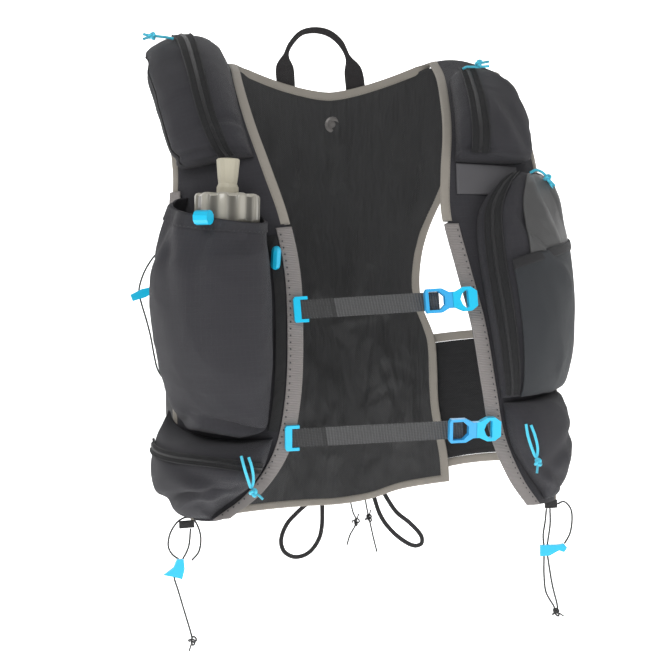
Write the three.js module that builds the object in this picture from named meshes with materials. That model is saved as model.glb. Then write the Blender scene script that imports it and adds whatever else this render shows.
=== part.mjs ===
// Running hydration vest, as worn, held up at the shoulders.
// Millimetres, +Z up. The fronts face -Y and +X is the wearer's left; "right" and "left" are the wearer's.
// The origin is the middle of the shoulder seat, where both straps rest.

import * as THREE from 'three';
import { mergeVertices } from 'three/addons/utils/BufferGeometryUtils.js';

// Driving sizes of the whole vest
const vestDrop = 430;
const halfWidth = 170;
const chestReach = 120;
const shoulderSlope = 14;
const backReach = 118;
const backCurve = 26;
const backCurveHalfSpan = 105;
const neckHalfWidth = 95;
const neckShift = 9;
const neckDip = 27;
const neckHeight = -4;

// Cloth and trim
const panelWall = 2.2;
const pocketWall = 1.4;
const wingWall = 1.8;
const gap = 0.35;
const bindingThickness = 3.4;
const neckBindingWidth = 9;
const hemBindingWidth = 8;
const strapBindingWidth = 7;
const wingBindingWidth = 8.5;
const wingBindingEnd = 4;
const tapeWidth = 13.5;
const tapeThickness = 1.4;
const tapeLift = 0.75;
const tapeStart = 0.492;
const tapeInset = 1;
const webbingWidth = 16;
const webbingThickness = 1.6;
const thinCord = 1.6;
const pullCord = 2.6;

const colours = {
  ripstop: 0x38363b,
  lining: 0x2a2a2c,
  binding: 0x8d8a80,
  tape: 0x8a8686,
  mesh: 0x3a3937,
  stretch: 0x33383f,
  webbing: 0x4a4a4a,
  blue: 0x00bfee,
  paleBlue: 0x5b9be8,
  cap: 0xa8a496,
  valve: 0xc4c0ae,
  bottle: 0xb9b8b0,
  cord: 0x26262a,
  snap: 0x6e6a66,
};

const vest = new THREE.Group();

function material(colour, roughness, metalness = 0) {
  return new THREE.MeshStandardMaterial({ color: colour, roughness, metalness });
}

function add(name, geometry, colour, roughness = 0.8, metalness = 0) {
  const mesh = new THREE.Mesh(geometry, material(colour, roughness, metalness));
  mesh.name = name;
  vest.add(mesh);
  return mesh;
}

// Reads a column of a table at a share along it, on a smooth curve through the rows.
function read(rows, key, share) {
  const last = rows.length - 1;
  let k = 0;
  while (k < last - 1 && rows[k + 1].at <= share) k += 1;
  const slope = (i) => {
    const a = Math.max(i - 1, 0);
    const b = Math.min(i + 1, last);
    return (rows[b][key] - rows[a][key]) / (rows[b].at - rows[a].at);
  };
  const span = rows[k + 1].at - rows[k].at;
  const t = THREE.MathUtils.clamp((share - rows[k].at) / span, 0, 1);
  const keep = (1 + 2 * t) * (1 - t) ** 2;
  const leave = t * (1 - t) ** 2 * span;
  const arrive = t ** 2 * (t - 1) * span;
  return keep * rows[k][key] + (1 - keep) * rows[k + 1][key] + leave * slope(k) + arrive * slope(k + 1);
}

// Turns faces outward and joins shared corners.
function closed(geometry) {
  geometry.deleteAttribute('normal');
  geometry.deleteAttribute('uv');
  const merged = mergeVertices(geometry, 1e-4);
  const p = merged.attributes.position;
  const index = merged.index.array;
  const a = new THREE.Vector3();
  const b = new THREE.Vector3();
  const c = new THREE.Vector3();
  let volume = 0;
  const kept = [];
  for (let i = 0; i < index.length; i += 3) {
    const [i0, i1, i2] = [index[i], index[i + 1], index[i + 2]];
    if (i0 === i1 || i1 === i2 || i2 === i0) continue;
    a.fromBufferAttribute(p, i0);
    b.fromBufferAttribute(p, i1);
    c.fromBufferAttribute(p, i2);
    volume += a.dot(b.cross(c));
    kept.push(i0, i1, i2);
  }
  if (volume < 0) {
    for (let i = 0; i < kept.length; i += 3) [kept[i + 1], kept[i + 2]] = [kept[i + 2], kept[i + 1]];
  }
  merged.setIndex(kept);
  merged.computeVertexNormals();
  return merged;
}

// A wall between two faces, each a function of (u, v) from 0 to 1. A loop joins its end to its start.
function wall(outer, inner, nu, nv, loop = false) {
  const positions = [];
  const index = [];
  const columns = nv + 1;
  const rows = loop ? nu : nu + 1;
  for (const face of [outer, inner]) {
    for (let i = 0; i < rows; i++) {
      for (let j = 0; j < columns; j++) positions.push(...face(i / nu, j / nv).toArray());
    }
  }
  const at = (side, i, j) => side * rows * columns + (i % rows) * columns + j;
  const quad = (a, b, c, d) => index.push(a, b, c, a, c, d);
  for (let i = 0; i < nu; i++) {
    for (let j = 0; j < nv; j++) {
      quad(at(0, i, j), at(0, i + 1, j), at(0, i + 1, j + 1), at(0, i, j + 1));
      quad(at(1, i, j), at(1, i, j + 1), at(1, i + 1, j + 1), at(1, i + 1, j));
    }
    quad(at(0, i, 0), at(1, i, 0), at(1, i + 1, 0), at(0, i + 1, 0));
    quad(at(0, i, nv), at(0, i + 1, nv), at(1, i + 1, nv), at(1, i, nv));
  }
  for (let j = 0; j < nv && !loop; j++) {
    quad(at(0, 0, j), at(0, 0, j + 1), at(1, 0, j + 1), at(1, 0, j));
    quad(at(0, nu, j), at(1, nu, j), at(1, nu, j + 1), at(0, nu, j + 1));
  }
  const geometry = new THREE.BufferGeometry();
  geometry.setAttribute('position', new THREE.Float32BufferAttribute(positions, 3));
  geometry.setIndex(index);
  return closed(geometry);
}

// Shoulder straps and fronts.
// One row for each section from the back seam (at 0) over the shoulder to the lower tip (at 1).
// y, back are shares of chestReach; z of vestDrop; inner, outer of halfWidth; drop of shoulderSlope.
const rightStrap = {
  sign: -1,
  rows: [
    { at: 0.0, y: 0.835, z: -0.009, inner: 0.508, outer: 0.971, back: -0.38, drop: 1.0 },
    { at: 0.062, y: 0.53, z: -0.02, inner: 0.54, outer: 0.982, back: -0.217, drop: 1.0 },
    { at: 0.124, y: 0.258, z: -0.035, inner: 0.562, outer: 0.994, back: -0.067, drop: 0.93 },
    { at: 0.186, y: 0.008, z: -0.06, inner: 0.582, outer: 1.0, back: 0.067, drop: 0.86 },
    { at: 0.25, y: -0.242, z: -0.1, inner: 0.59, outer: 1.006, back: 0.15, drop: 0.86 },
    { at: 0.317, y: -0.475, z: -0.163, inner: 0.575, outer: 1.006, back: 0.233, drop: 1.0 },
    { at: 0.388, y: -0.65, z: -0.237, inner: 0.535, outer: 1.006, back: 0.333, drop: 0.86 },
    { at: 0.474, y: -0.792, z: -0.342, inner: 0.47, outer: 1.03, back: 0.45, drop: 0.43 },
    { at: 0.57, y: -0.9, z: -0.453, inner: 0.435, outer: 1.05, back: 0.55, drop: 0.14 },
    { at: 0.665, y: -0.967, z: -0.57, inner: 0.44, outer: 1.06, back: 0.6, drop: 0.0 },
    { at: 0.767, y: -1.0, z: -0.698, inner: 0.467, outer: 1.06, back: 0.617, drop: 0.0 },
    { at: 0.853, y: -0.983, z: -0.802, inner: 0.529, outer: 1.06, back: 0.6, drop: 0.0 },
    { at: 0.934, y: -0.933, z: -0.884, inner: 0.665, outer: 1.053, back: 0.5, drop: 0.4 },
    { at: 1.0, y: -0.9, z: -0.935, inner: 0.835, outer: 1.012, back: 0.25, drop: 0.43 },
  ],
};
const leftStrap = {
  sign: 1,
  rows: [
    { at: 0.0, y: 0.771, z: -0.009, inner: 0.615, outer: 0.971, back: -0.316, drop: 1.0 },
    { at: 0.062, y: 0.5, z: -0.041, inner: 0.595, outer: 0.982, back: -0.167, drop: 0.93 },
    { at: 0.124, y: 0.25, z: -0.07, inner: 0.558, outer: 0.99, back: -0.042, drop: 0.86 },
    { at: 0.186, y: 0.0, z: -0.107, inner: 0.515, outer: 0.99, back: 0.083, drop: 0.86 },
    { at: 0.25, y: -0.233, z: -0.149, inner: 0.473, outer: 0.995, back: 0.167, drop: 0.86 },
    { at: 0.317, y: -0.433, z: -0.195, inner: 0.429, outer: 1.0, back: 0.25, drop: 0.71 },
    { at: 0.388, y: -0.617, z: -0.26, inner: 0.376, outer: 1.015, back: 0.367, drop: 0.57 },
    { at: 0.474, y: -0.775, z: -0.349, inner: 0.341, outer: 1.05, back: 0.483, drop: 0.29 },
    { at: 0.57, y: -0.892, z: -0.458, inner: 0.382, outer: 1.07, back: 0.567, drop: 0.0 },
    { at: 0.665, y: -0.967, z: -0.574, inner: 0.441, outer: 1.075, back: 0.617, drop: 0.0 },
    { at: 0.767, y: -1.0, z: -0.698, inner: 0.482, outer: 1.07, back: 0.617, drop: 0.0 },
    { at: 0.853, y: -0.983, z: -0.802, inner: 0.529, outer: 1.06, back: 0.6, drop: 0.0 },
    { at: 0.934, y: -0.933, z: -0.895, inner: 0.635, outer: 1.035, back: 0.5, drop: 0.3 },
    { at: 1.0, y: -0.883, z: -0.958, inner: 0.747, outer: 0.985, back: 0.25, drop: 0.29 },
  ],
};
const wrapPower = 2.2;
const strapCrown = 8;
const crownEnd = 0.4;

function strapBase(strap, at, across) {
  const inner = halfWidth * read(strap.rows, 'inner', at);
  const outer = halfWidth * read(strap.rows, 'outer', at);
  const wrap = Math.max(across, 0) ** wrapPower;
  const crownShare = Math.max(0, 1 - at / crownEnd);
  const crown = strapCrown * crownShare * Math.sin(Math.PI * THREE.MathUtils.clamp(across, 0, 1));
  return new THREE.Vector3(
    strap.sign * THREE.MathUtils.lerp(inner, outer, across),
    chestReach * (read(strap.rows, 'y', at) + read(strap.rows, 'back', at) * wrap),
    vestDrop * read(strap.rows, 'z', at) - shoulderSlope * read(strap.rows, 'drop', at) * across + crown,
  );
}

function strapPoint(strap, at, across, lift) {
  const step = 0.004;
  const a0 = Math.max(at - step, 0);
  const a1 = Math.min(at + step, 1);
  const along = strapBase(strap, a1, across).sub(strapBase(strap, a0, across));
  const side = strapBase(strap, at, across + step).sub(strapBase(strap, at, across - step));
  const normal = along.cross(side).normalize().multiplyScalar(strap.sign * lift);
  return strapBase(strap, at, across).add(normal);
}

// The share of a strap's breadth that a distance in millimetres from its inner or outer edge takes.
function fromInner(strap, at, distance) {
  return distance / (halfWidth * (read(strap.rows, 'outer', at) - read(strap.rows, 'inner', at)));
}

function fromOuter(strap, at, distance) {
  const breadth = halfWidth * (read(strap.rows, 'outer', at) - read(strap.rows, 'inner', at));
  const depth = chestReach * wrapPower * Math.abs(read(strap.rows, 'back', at));
  return 1 - distance / Math.hypot(breadth, depth);
}

// The share along a strap at which its outer edge reaches a height on the front.
function atHeight(strap, z) {
  let low = 0.3;
  let high = 1;
  for (let i = 0; i < 30; i++) {
    const middle = (low + high) / 2;
    if (strapBase(strap, middle, 1).z > z) low = middle;
    else high = middle;
  }
  return (low + high) / 2;
}

// Rows along a strap, shared by its panel, its bound edges and its tape.
// The panel narrows in one short step where the neck binding ends and the tape starts.
const seamGap = 0.006;
const tapeStep = 0.006;
const rowsAbove = 10;
const rowsBelow = 10;
function station(row) {
  if (row <= rowsAbove) return THREE.MathUtils.lerp(seamGap, tapeStart - tapeStep, row / rowsAbove);
  return THREE.MathUtils.lerp(tapeStart, 1, (row - rowsAbove - 1) / rowsBelow);
}

const straps = { right: rightStrap, left: leftStrap };
const strapRows = rowsAbove + 1 + rowsBelow;
const strapColumns = 5;
const tapeColumns = 3;
for (const [name, strap] of Object.entries(straps)) {
  const edge = (at) => fromInner(strap, at, at < tapeStart ? neckBindingWidth + gap : tapeInset);
  const share = (v, at) => THREE.MathUtils.lerp(edge(at), fromOuter(strap, at, strapBindingWidth + gap), v);
  const along = (u) => station(Math.round(u * strapRows));
  const panel = (lift) => (u, v) => strapPoint(strap, along(u), share(v, along(u)), lift);
  const front = wall(panel(0), panel(-panelWall), strapRows, strapColumns);
  add(`${name}_front_panel`, front, colours.ripstop, 0.75);

  const bound = (side) => (u, v) => {
    const across = fromOuter(strap, along(u), strapBindingWidth * v);
    return strapPoint(strap, along(u), across, side * bindingThickness / 2 - panelWall / 2);
  };
  add(`${name}_strap_binding`, wall(bound(1), bound(-1), strapRows, 1), colours.binding, 0.85);

  const tape = (lift) => (u, v) => {
    const at = THREE.MathUtils.lerp(tapeStart, 1, u);
    return strapPoint(strap, at, fromInner(strap, at, tapeWidth * v), lift);
  };
  const strip = wall(tape(tapeLift + tapeThickness), tape(tapeLift), rowsBelow, tapeColumns);
  add(`${name}_daisy_tape`, strip, colours.tape, 0.8);
}

// Back panel. A row for each height, with the half width there as a share of halfWidth.
const backRows = [
  { at: 0.0, half: 0.995 },
  { at: 0.05, half: 0.965 },
  { at: 0.144, half: 0.88 },
  { at: 0.233, half: 0.77 },
  { at: 0.328, half: 0.672 },
  { at: 0.362, half: 0.632 },
  { at: 0.408, half: 0.588 },
  { at: 0.455, half: 0.558 },
  { at: 0.515, half: 0.542 },
  { at: 0.573, half: 0.553 },
  { at: 0.627, half: 0.6 },
  { at: 0.656, half: 0.62 },
  { at: 0.72, half: 0.628 },
  { at: 0.798, half: 0.63 },
  { at: 0.86, half: 0.648 },
  { at: 0.942, half: 0.676 },
  { at: 1.06, half: 0.68 },
];
const neckPower = 1.5;

// Hem height below the seat as a share of vestDrop, from the right edge to the left as shares of halfWidth.
const hemRows = [
  { at: -0.72, z: 1.03 },
  { at: -0.53, z: 1.034 },
  { at: -0.2, z: 1.04 },
  { at: 0.04, z: 1.043 },
  { at: 0.23, z: 1.034 },
  { at: 0.4, z: 1.013 },
  { at: 0.57, z: 1.0 },
  { at: 0.72, z: 0.99 },
];

function neckLine(x) {
  const out = Math.abs(x - neckShift) / neckHalfWidth;
  if (out < 1) return neckHeight - neckDip * (1 - out ** neckPower);
  const beyond = (Math.abs(x - neckShift) - neckHalfWidth) / (halfWidth - neckHalfWidth);
  return neckHeight - shoulderSlope * beyond;
}

function hemLine(x) {
  return -vestDrop * read(hemRows, 'z', x / halfWidth);
}

// A point of the back's outline plan at (u down, c across from -1 to 1), drawn in from its edges.
function backPlan(u, c, sideInset, topInset, hemInset) {
  let x = 0;
  let z = neckHeight;
  for (let i = 0; i < 12; i++) {
    x = c * (halfWidth * read(backRows, 'half', -z / vestDrop) - sideInset);
    z = THREE.MathUtils.lerp(neckLine(x) - topInset(x), hemLine(x) + hemInset, u);
  }
  return [x, z];
}

function backPoint(x, z, lift) {
  const y = backReach - backCurve * (x / backCurveHalfSpan) ** 2;
  const normal = new THREE.Vector3(2 * backCurve * x / backCurveHalfSpan ** 2, 1, 0).normalize();
  return new THREE.Vector3(x, y, z).addScaledVector(normal, lift);
}

const seamClearance = 9;
const neckBackSpan = 0.93;
const chordGap = 0.8;
const neckTrim = neckBindingWidth + gap + chordGap;
const cornerReach = 106;
const cornerBlend = 6;
const panelTop = (x) => {
  const beyond = (Math.abs(x - neckShift) - cornerReach) / cornerBlend;
  return THREE.MathUtils.lerp(neckTrim, seamClearance, THREE.MathUtils.clamp(beyond, 0, 1));
};
const backColumns = [
  -1, -0.8, -0.65, -0.61, -0.45, -0.3, -0.13, 0.056, 0.22, 0.37, 0.53, 0.715, 0.76, 0.88, 1,
];
const backRowCount = 12;
const backFace = (lift) => (u, v) => {
  const trim = hemBindingWidth + gap;
  const across = backColumns[Math.round(v * (backColumns.length - 1))];
  return backPoint(...backPlan(u, across, trim + gap, panelTop, trim), lift);
};
const backWall = wall(backFace(0), backFace(-panelWall), backRowCount, backColumns.length - 1);
add('back_panel', backWall, colours.lining, 0.9);

// Bound edge along the back's sides and hem, starting and ending at the shoulder seams.
const hemSteps = 36;
const sideShare = 1 / 3;
function hemPath(u) {
  if (u < sideShare) return [u / sideShare, -1];
  if (u > 1 - sideShare) return [(1 - u) / sideShare, 1];
  return [1, THREE.MathUtils.mapLinear(u, sideShare, 1 - sideShare, -1, 1)];
}
const hemBand = (lift) => (u, v) => {
  const snapped = Math.round(u * hemSteps) / hemSteps;
  const [down, across] = hemPath(snapped);
  const inset = hemBindingWidth * v;
  return backPoint(...backPlan(down, across, inset, () => seamClearance, inset), lift - panelWall / 2);
};
const hemWall = wall(hemBand(bindingThickness / 2), hemBand(-bindingThickness / 2), hemSteps, 1);
add('back_hem_binding', hemWall, colours.binding, 0.85);

// Bound edge up the right strap, round the neck and down the left strap.
const neckBackSteps = 20;
const neckSteps = 2 * (rowsAbove + 1) + neckBackSteps;
const neckBand = (side) => (u, v) => {
  const lift = side * bindingThickness / 2 - panelWall / 2;
  const width = neckBindingWidth * v;
  const k = Math.round(u * neckSteps);
  const row = rowsAbove - Math.min(k, neckSteps - k);
  if (row >= 0) {
    const strap = k < neckSteps / 2 ? rightStrap : leftStrap;
    return strapPoint(strap, station(row), fromInner(strap, station(row), width), lift);
  }
  const across = (2 * (k - rowsAbove - 1)) / neckBackSteps - 1;
  const x = neckShift + neckBackSpan * neckHalfWidth * across;
  return backPoint(x, neckLine(x) - width, lift);
};
add('neck_binding', wall(neckBand(1), neckBand(-1), neckSteps, 1), colours.binding, 0.85);

// Side wings, lapped behind the back's edge and under the front's edge.
const wingTopBack = -277;
const wingTopFront = -262;
const wingBottomBack = -414;
const wingBottomFront = -392;
const wingLap = 7;
const wingBulge = [{ x: 150, y: 92 }, { x: 197, y: 45 }];

function wingPoint(strap, u, v, lift) {
  const top = THREE.MathUtils.lerp(wingTopBack, wingTopFront, u);
  const bottom = THREE.MathUtils.lerp(wingBottomBack, wingBottomFront, u);
  const z = THREE.MathUtils.lerp(top, bottom, v);
  const half = halfWidth * read(backRows, 'half', -z / vestDrop) - wingLap;
  const start = backPoint(strap.sign * half, z, gap + wingWall + bindingThickness / 2);
  const at = atHeight(strap, z);
  const under = (panelWall + bindingThickness) / 2 + 2 * gap;
  const end = strapPoint(strap, at, fromOuter(strap, at, wingLap), -under);
  const plan = new THREE.CubicBezierCurve3(
    start,
    new THREE.Vector3(strap.sign * wingBulge[0].x, wingBulge[0].y, z),
    new THREE.Vector3(strap.sign * wingBulge[1].x, wingBulge[1].y, z),
    end,
  );
  const point = plan.getPoint(u);
  const tangent = plan.getTangent(u);
  const normal = new THREE.Vector3(-tangent.y, tangent.x, 0).normalize().multiplyScalar(-strap.sign * lift);
  return point.sub(normal);
}

const wingHeight = wingTopBack - wingBottomBack;
const wingLength = 165;
const wingColumns = 9;
const wingRows = 4;
const wingRim = 2 * (wingColumns + wingRows);
for (const [name, strap] of Object.entries(straps)) {
  const trimV = (wingBindingWidth + gap) / wingHeight;
  const trimU = (wingBindingEnd + gap) / wingLength;
  const face = (lift) => (u, v) => {
    const at = THREE.MathUtils.lerp(trimU, 1 - trimU, u);
    return wingPoint(strap, at, THREE.MathUtils.lerp(trimV, 1 - trimV, v), lift);
  };
  add(`${name}_wing`, wall(face(0), face(-wingWall), wingColumns, wingRows), colours.lining, 0.9);

  const edgeV = wingBindingWidth / wingHeight;
  const edgeU = wingBindingEnd / wingLength;
  const rim = (lift) => (u, v) => {
    const k = Math.round(u * wingRim) % wingRim;
    const far = k >= wingRim / 2;
    const step = k % (wingRim / 2);
    const along = Math.min(step, wingColumns) / wingColumns;
    const down = Math.max(step - wingColumns, 0) / wingRows;
    const pu = far ? 1 - along : along;
    const pv = far ? 1 - down : down;
    const iu = THREE.MathUtils.lerp(edgeU * v, 1 - edgeU * v, pu);
    const iv = THREE.MathUtils.lerp(edgeV * v, 1 - edgeV * v, pv);
    return wingPoint(strap, iu, iv, lift - wingWall / 2);
  };
  const thick = wingWall / 2 + 0.3;
  add(`${name}_wing_binding`, wall(rim(thick), rim(-thick), wingRim, 1, true), colours.binding, 0.85);
}

// Pouches. Each stands on a face as a crowned wall that is hollow towards it.
// A row's at runs down the pouch, from and to are its edges as shares of the face's breadth,
// and rise is a share of its depth. It sits clear of the bound edge that it crosses.
const seat = gap + (bindingThickness - panelWall) / 2;

function onStrap(strap) {
  return { face: (at, across, lift) => strapPoint(strap, at, across, lift), turn: strap.sign };
}

// How far a superellipse of a power stands at a cosine of its turn.
function bulge(cosine, power) {
  return (1 - Math.min(Math.abs(cosine), 1) ** power) ** (1 / power);
}

function pouchBase(pouch, u, v, inset) {
  const trim = inset / pouch.length;
  const end = Math.cos(pouch.openTop ? ((1 + u) * Math.PI) / 2 : u * Math.PI);
  const side = Math.cos(v * Math.PI);
  const down = pouch.openTop ? -end * (1 - trim) : THREE.MathUtils.lerp(trim, 1 - trim, (1 - end) / 2);
  const sideRise = bulge(side, pouch.sideRound);
  const from = read(pouch.rows, 'from', down) + inset / pouch.breadth;
  const to = read(pouch.rows, 'to', down) - inset / pouch.breadth;
  const across = THREE.MathUtils.lerp(from, to, (1 - side) / 2);
  const endRise = bulge(end, pouch.endRound);
  const rise = (pouch.depth - inset) * read(pouch.rows, 'rise', down) * endRise * sideRise;
  const nearMouth = pouch.openTop ? Math.max(0, 1 - down / pouch.mouthReach) : 0;
  const dip = nearMouth * ((pouch.mouthDip ?? 0) * sideRise + (pouch.mouthTilt ?? 0) * (0.5 - v));
  const at = THREE.MathUtils.lerp(pouch.start, pouch.end, down) + dip;
  const place = pouch.on.face(at, across, seat + rise);
  const lean = pouch.lean ?? { x: 0, y: 0 };
  place.x += lean.x * (rise / pouch.depth);
  place.y += lean.y * (rise / pouch.depth);
  return place;
}

function pouchPoint(pouch, u, v, lift) {
  const step = 0.01;
  const u0 = THREE.MathUtils.clamp(u, step, 1 - step);
  const v0 = THREE.MathUtils.clamp(v, step, 1 - step);
  const along = pouchBase(pouch, u0 + step, v0, 0).sub(pouchBase(pouch, u0 - step, v0, 0));
  const side = pouchBase(pouch, u0, v0 + step, 0).sub(pouchBase(pouch, u0, v0 - step, 0));
  const normal = along.cross(side).normalize().multiplyScalar(pouch.on.turn * lift);
  return pouchBase(pouch, u, v, 0).add(normal);
}

function addPouch(name, pouch, colour) {
  const outer = (u, v) => pouchBase(pouch, u, v, 0);
  const inner = (u, v) => pouchBase(pouch, u, v, pocketWall);
  add(name, wall(outer, inner, pouch.rowCount, pouch.columnCount), colour, 0.75);
}

// A thin strip or patch lying on a pouch, between two of its rows and two of its columns.
function addPatch(name, pouch, area, thickness, colour) {
  const face = (lift) => (u, v) => pouchPoint(
    pouch,
    THREE.MathUtils.lerp(area.top, area.bottom, u) / pouch.rowCount,
    THREE.MathUtils.lerp(area.left, area.right, v) / pouch.columnCount,
    lift,
  );
  const rows = Math.ceil(area.bottom - area.top);
  const columns = Math.ceil(area.right - area.left);
  add(name, wall(face(gap + thickness), face(gap), rows, columns), colour, 0.7);
}

const zipThickness = 1.1;

const rightShoulder = {
  on: onStrap(rightStrap),
  start: 0.02,
  end: 0.372,
  rowCount: 10,
  columnCount: 9,
  length: 180,
  breadth: 76,
  depth: 31,
  endRound: 5,
  sideRound: 2.8,
  lean: { x: -11, y: 2 },
  rows: [
    { at: 0, from: 0.15, to: 1.14, rise: 1 },
    { at: 0.4, from: 0.13, to: 1.07, rise: 0.95 },
    { at: 1, from: 0.15, to: 0.86, rise: 0.8 },
  ],
};
addPouch('right_shoulder_pocket', rightShoulder, colours.ripstop);
const rightShoulderZip = { top: 2, bottom: 9, left: 4, right: 5 };
addPatch('right_shoulder_zip', rightShoulder, rightShoulderZip, zipThickness, colours.mesh);

const leftShoulder = {
  on: onStrap(leftStrap),
  start: 0.12,
  end: 0.37,
  rowCount: 9,
  columnCount: 8,
  length: 132,
  breadth: 90,
  depth: 22,
  endRound: 4,
  sideRound: 2.8,
  rows: [
    { at: 0, from: 0.16, to: 0.96, rise: 1 },
    { at: 0.5, from: 0.13, to: 0.97, rise: 1 },
    { at: 1, from: 0.12, to: 0.95, rise: 0.9 },
  ],
};
addPouch('left_shoulder_pocket', leftShoulder, colours.ripstop);
const leftShoulderZip = { top: 2, bottom: 8, left: 2, right: 3 };
addPatch('left_shoulder_zip', leftShoulder, leftShoulderZip, zipThickness, colours.mesh);

const bottlePocket = {
  on: onStrap(rightStrap),
  start: 0.447,
  end: 0.825,
  rowCount: 9,
  columnCount: 11,
  length: 195,
  breadth: 110,
  depth: 63,
  endRound: 3.2,
  sideRound: 2.6,
  openTop: true,
  lean: { x: 9, y: -5 },
  mouthDip: 0.052,
  mouthTilt: 0.045,
  mouthReach: 0.3,
  rows: [
    { at: 0, from: 0.23, to: 0.86, rise: 1 },
    { at: 0.15, from: 0.245, to: 0.93, rise: 0.98 },
    { at: 0.4, from: 0.25, to: 0.98, rise: 1 },
    { at: 0.7, from: 0.25, to: 1.0, rise: 0.95 },
    { at: 1, from: 0.26, to: 0.97, rise: 0.78 },
  ],
};
addPouch('bottle_pocket', bottlePocket, colours.ripstop);

const rightLower = {
  on: onStrap(rightStrap),
  start: 0.832,
  end: 0.995,
  rowCount: 8,
  columnCount: 8,
  length: 95,
  breadth: 90,
  depth: 40,
  endRound: 3,
  sideRound: 2.3,
  rows: [
    { at: 0, from: 0.19, to: 1.02, rise: 1 },
    { at: 0.5, from: 0.22, to: 1.06, rise: 1 },
    { at: 1, from: 0.52, to: 1.0, rise: 0.6 },
  ],
};
addPouch('right_lower_pocket', rightLower, colours.ripstop);
const rightLowerZip = { top: 2, bottom: 3, left: 1, right: 6 };
addPatch('right_lower_zip', rightLower, rightLowerZip, zipThickness, colours.mesh);

const leftTall = {
  on: onStrap(leftStrap),
  start: 0.388,
  end: 0.79,
  rowCount: 11,
  columnCount: 9,
  length: 200,
  breadth: 118,
  depth: 30,
  endRound: 3,
  sideRound: 2.4,
  rows: [
    { at: 0, from: 0.66, to: 0.93, rise: 0.8 },
    { at: 0.1, from: 0.42, to: 0.95, rise: 0.95 },
    { at: 0.25, from: 0.26, to: 0.96, rise: 1 },
    { at: 0.6, from: 0.17, to: 0.96, rise: 1 },
    { at: 1, from: 0.17, to: 0.94, rise: 0.8 },
  ],
};
addPouch('left_tall_pocket', leftTall, colours.ripstop);
const leftTallZip = { top: 1, bottom: 10, left: 2, right: 3 };
addPatch('left_tall_zip', leftTall, leftTallZip, zipThickness, colours.mesh);
const stretchThickness = 1.4;
const leftStretch = { top: 5, bottom: 10, left: 3.08, right: 8 };
addPatch('left_stretch_pocket', leftTall, leftStretch, stretchThickness, colours.stretch);

const leftLower = {
  on: onStrap(leftStrap),
  start: 0.798,
  end: 0.99,
  rowCount: 8,
  columnCount: 8,
  length: 105,
  breadth: 88,
  depth: 27,
  endRound: 2.6,
  sideRound: 2.3,
  rows: [
    { at: 0, from: 0.18, to: 0.91, rise: 1 },
    { at: 0.5, from: 0.22, to: 0.86, rise: 0.9 },
    { at: 1, from: 0.5, to: 0.85, rise: 0.4 },
  ],
};
addPouch('left_lower_pocket', leftLower, colours.ripstop);

// Plain storage pouch on the back, standing off the back panel's rear face.
const packHalfWidth = 88;
const packTop = -62;
const packShow = 2;
const pack = {
  on: {
    face: (at, across, lift) => {
      const x = THREE.MathUtils.lerp(-packHalfWidth, packHalfWidth, across);
      return backPoint(x, THREE.MathUtils.lerp(packTop, hemLine(x) - packShow, at), lift + chordGap / 2);
    },
    turn: -1,
  },
  start: 0,
  end: 1,
  rowCount: 10,
  columnCount: 9,
  length: 384,
  breadth: 176,
  depth: 34,
  endRound: 3.6,
  sideRound: 2.8,
  rows: [
    { at: 0, from: 0.06, to: 0.94, rise: 0.8 },
    { at: 0.5, from: 0, to: 1, rise: 1 },
    { at: 1, from: 0, to: 1, rise: 1 },
  ],
};
addPouch('pack_compartment', pack, colours.ripstop);

// A flat band along a table of places, as wide as each row says, in the plane of the back.
function addRibbon(name, rows, place, thickness, steps, colour) {
  const middle = (share) => new THREE.Vector2(read(rows, 'x', share), read(rows, 'z', share));
  const face = (side) => (u, v) => {
    const tangent = middle(Math.min(u + 0.01, 1)).sub(middle(Math.max(u - 0.01, 0))).normalize();
    const across = (v - 0.5) * read(rows, 'width', u);
    const edge = middle(u).add(new THREE.Vector2(-tangent.y, tangent.x).multiplyScalar(across));
    return place(edge.x, edge.y, side * thickness / 2);
  };
  add(name, wall(face(1), face(-1), steps, 1), colour, 0.8);
}

// Haul loop, sewn behind the neck binding. Places and widths in millimetres from the middle of the seat.
const loopThickness = 2.4;
const loopLift = bindingThickness / 2 - panelWall / 2 + gap + loopThickness / 2;
addRibbon('haul_loop', [
  { at: 0.0, x: -35, z: -46, width: 19 },
  { at: 0.12, x: -35, z: -22, width: 19 },
  { at: 0.21, x: -35.5, z: -5, width: 18 },
  { at: 0.28, x: -33.5, z: 7, width: 5.5 },
  { at: 0.34, x: -29, z: 16.5, width: 5 },
  { at: 0.42, x: -18, z: 27.5, width: 5.5 },
  { at: 0.5, x: -4, z: 30.5, width: 6.5 },
  { at: 0.58, x: 10, z: 27.5, width: 7 },
  { at: 0.66, x: 21.5, z: 18, width: 6.5 },
  { at: 0.73, x: 28.5, z: 4, width: 5.5 },
  { at: 0.8, x: 33, z: -9, width: 17 },
  { at: 0.88, x: 35, z: -25, width: 19 },
  { at: 1.0, x: 36, z: -48, width: 19 },
], (x, z, lift) => backPoint(x, z, loopLift + lift), loopThickness, 24, colours.webbing);

// Two elastic ribbon loops for a pole or axe, sewn under the pack.
const ribbonThickness = 1.4;
const ribbonReach = 132;
const ribbonPlace = (x, z, lift) => new THREE.Vector3(x, ribbonReach + lift, z);
addRibbon('right_axe_loop', [
  { at: 0.0, x: -20, z: -445.7, width: 4.5 },
  { at: 0.12, x: -34, z: -456.5, width: 4.5 },
  { at: 0.24, x: -46, z: -468.5, width: 4.5 },
  { at: 0.38, x: -52.5, z: -484.5, width: 4.5 },
  { at: 0.48, x: -49.5, z: -497, width: 4.5 },
  { at: 0.57, x: -38.5, z: -503.5, width: 4.5 },
  { at: 0.68, x: -24.5, z: -500.5, width: 4.5 },
  { at: 0.8, x: -13.5, z: -488, width: 4.5 },
  { at: 0.9, x: -9, z: -472, width: 4.5 },
  { at: 1.0, x: -8, z: -445.4, width: 4.5 },
], ribbonPlace, ribbonThickness, 18, colours.cord);
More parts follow.
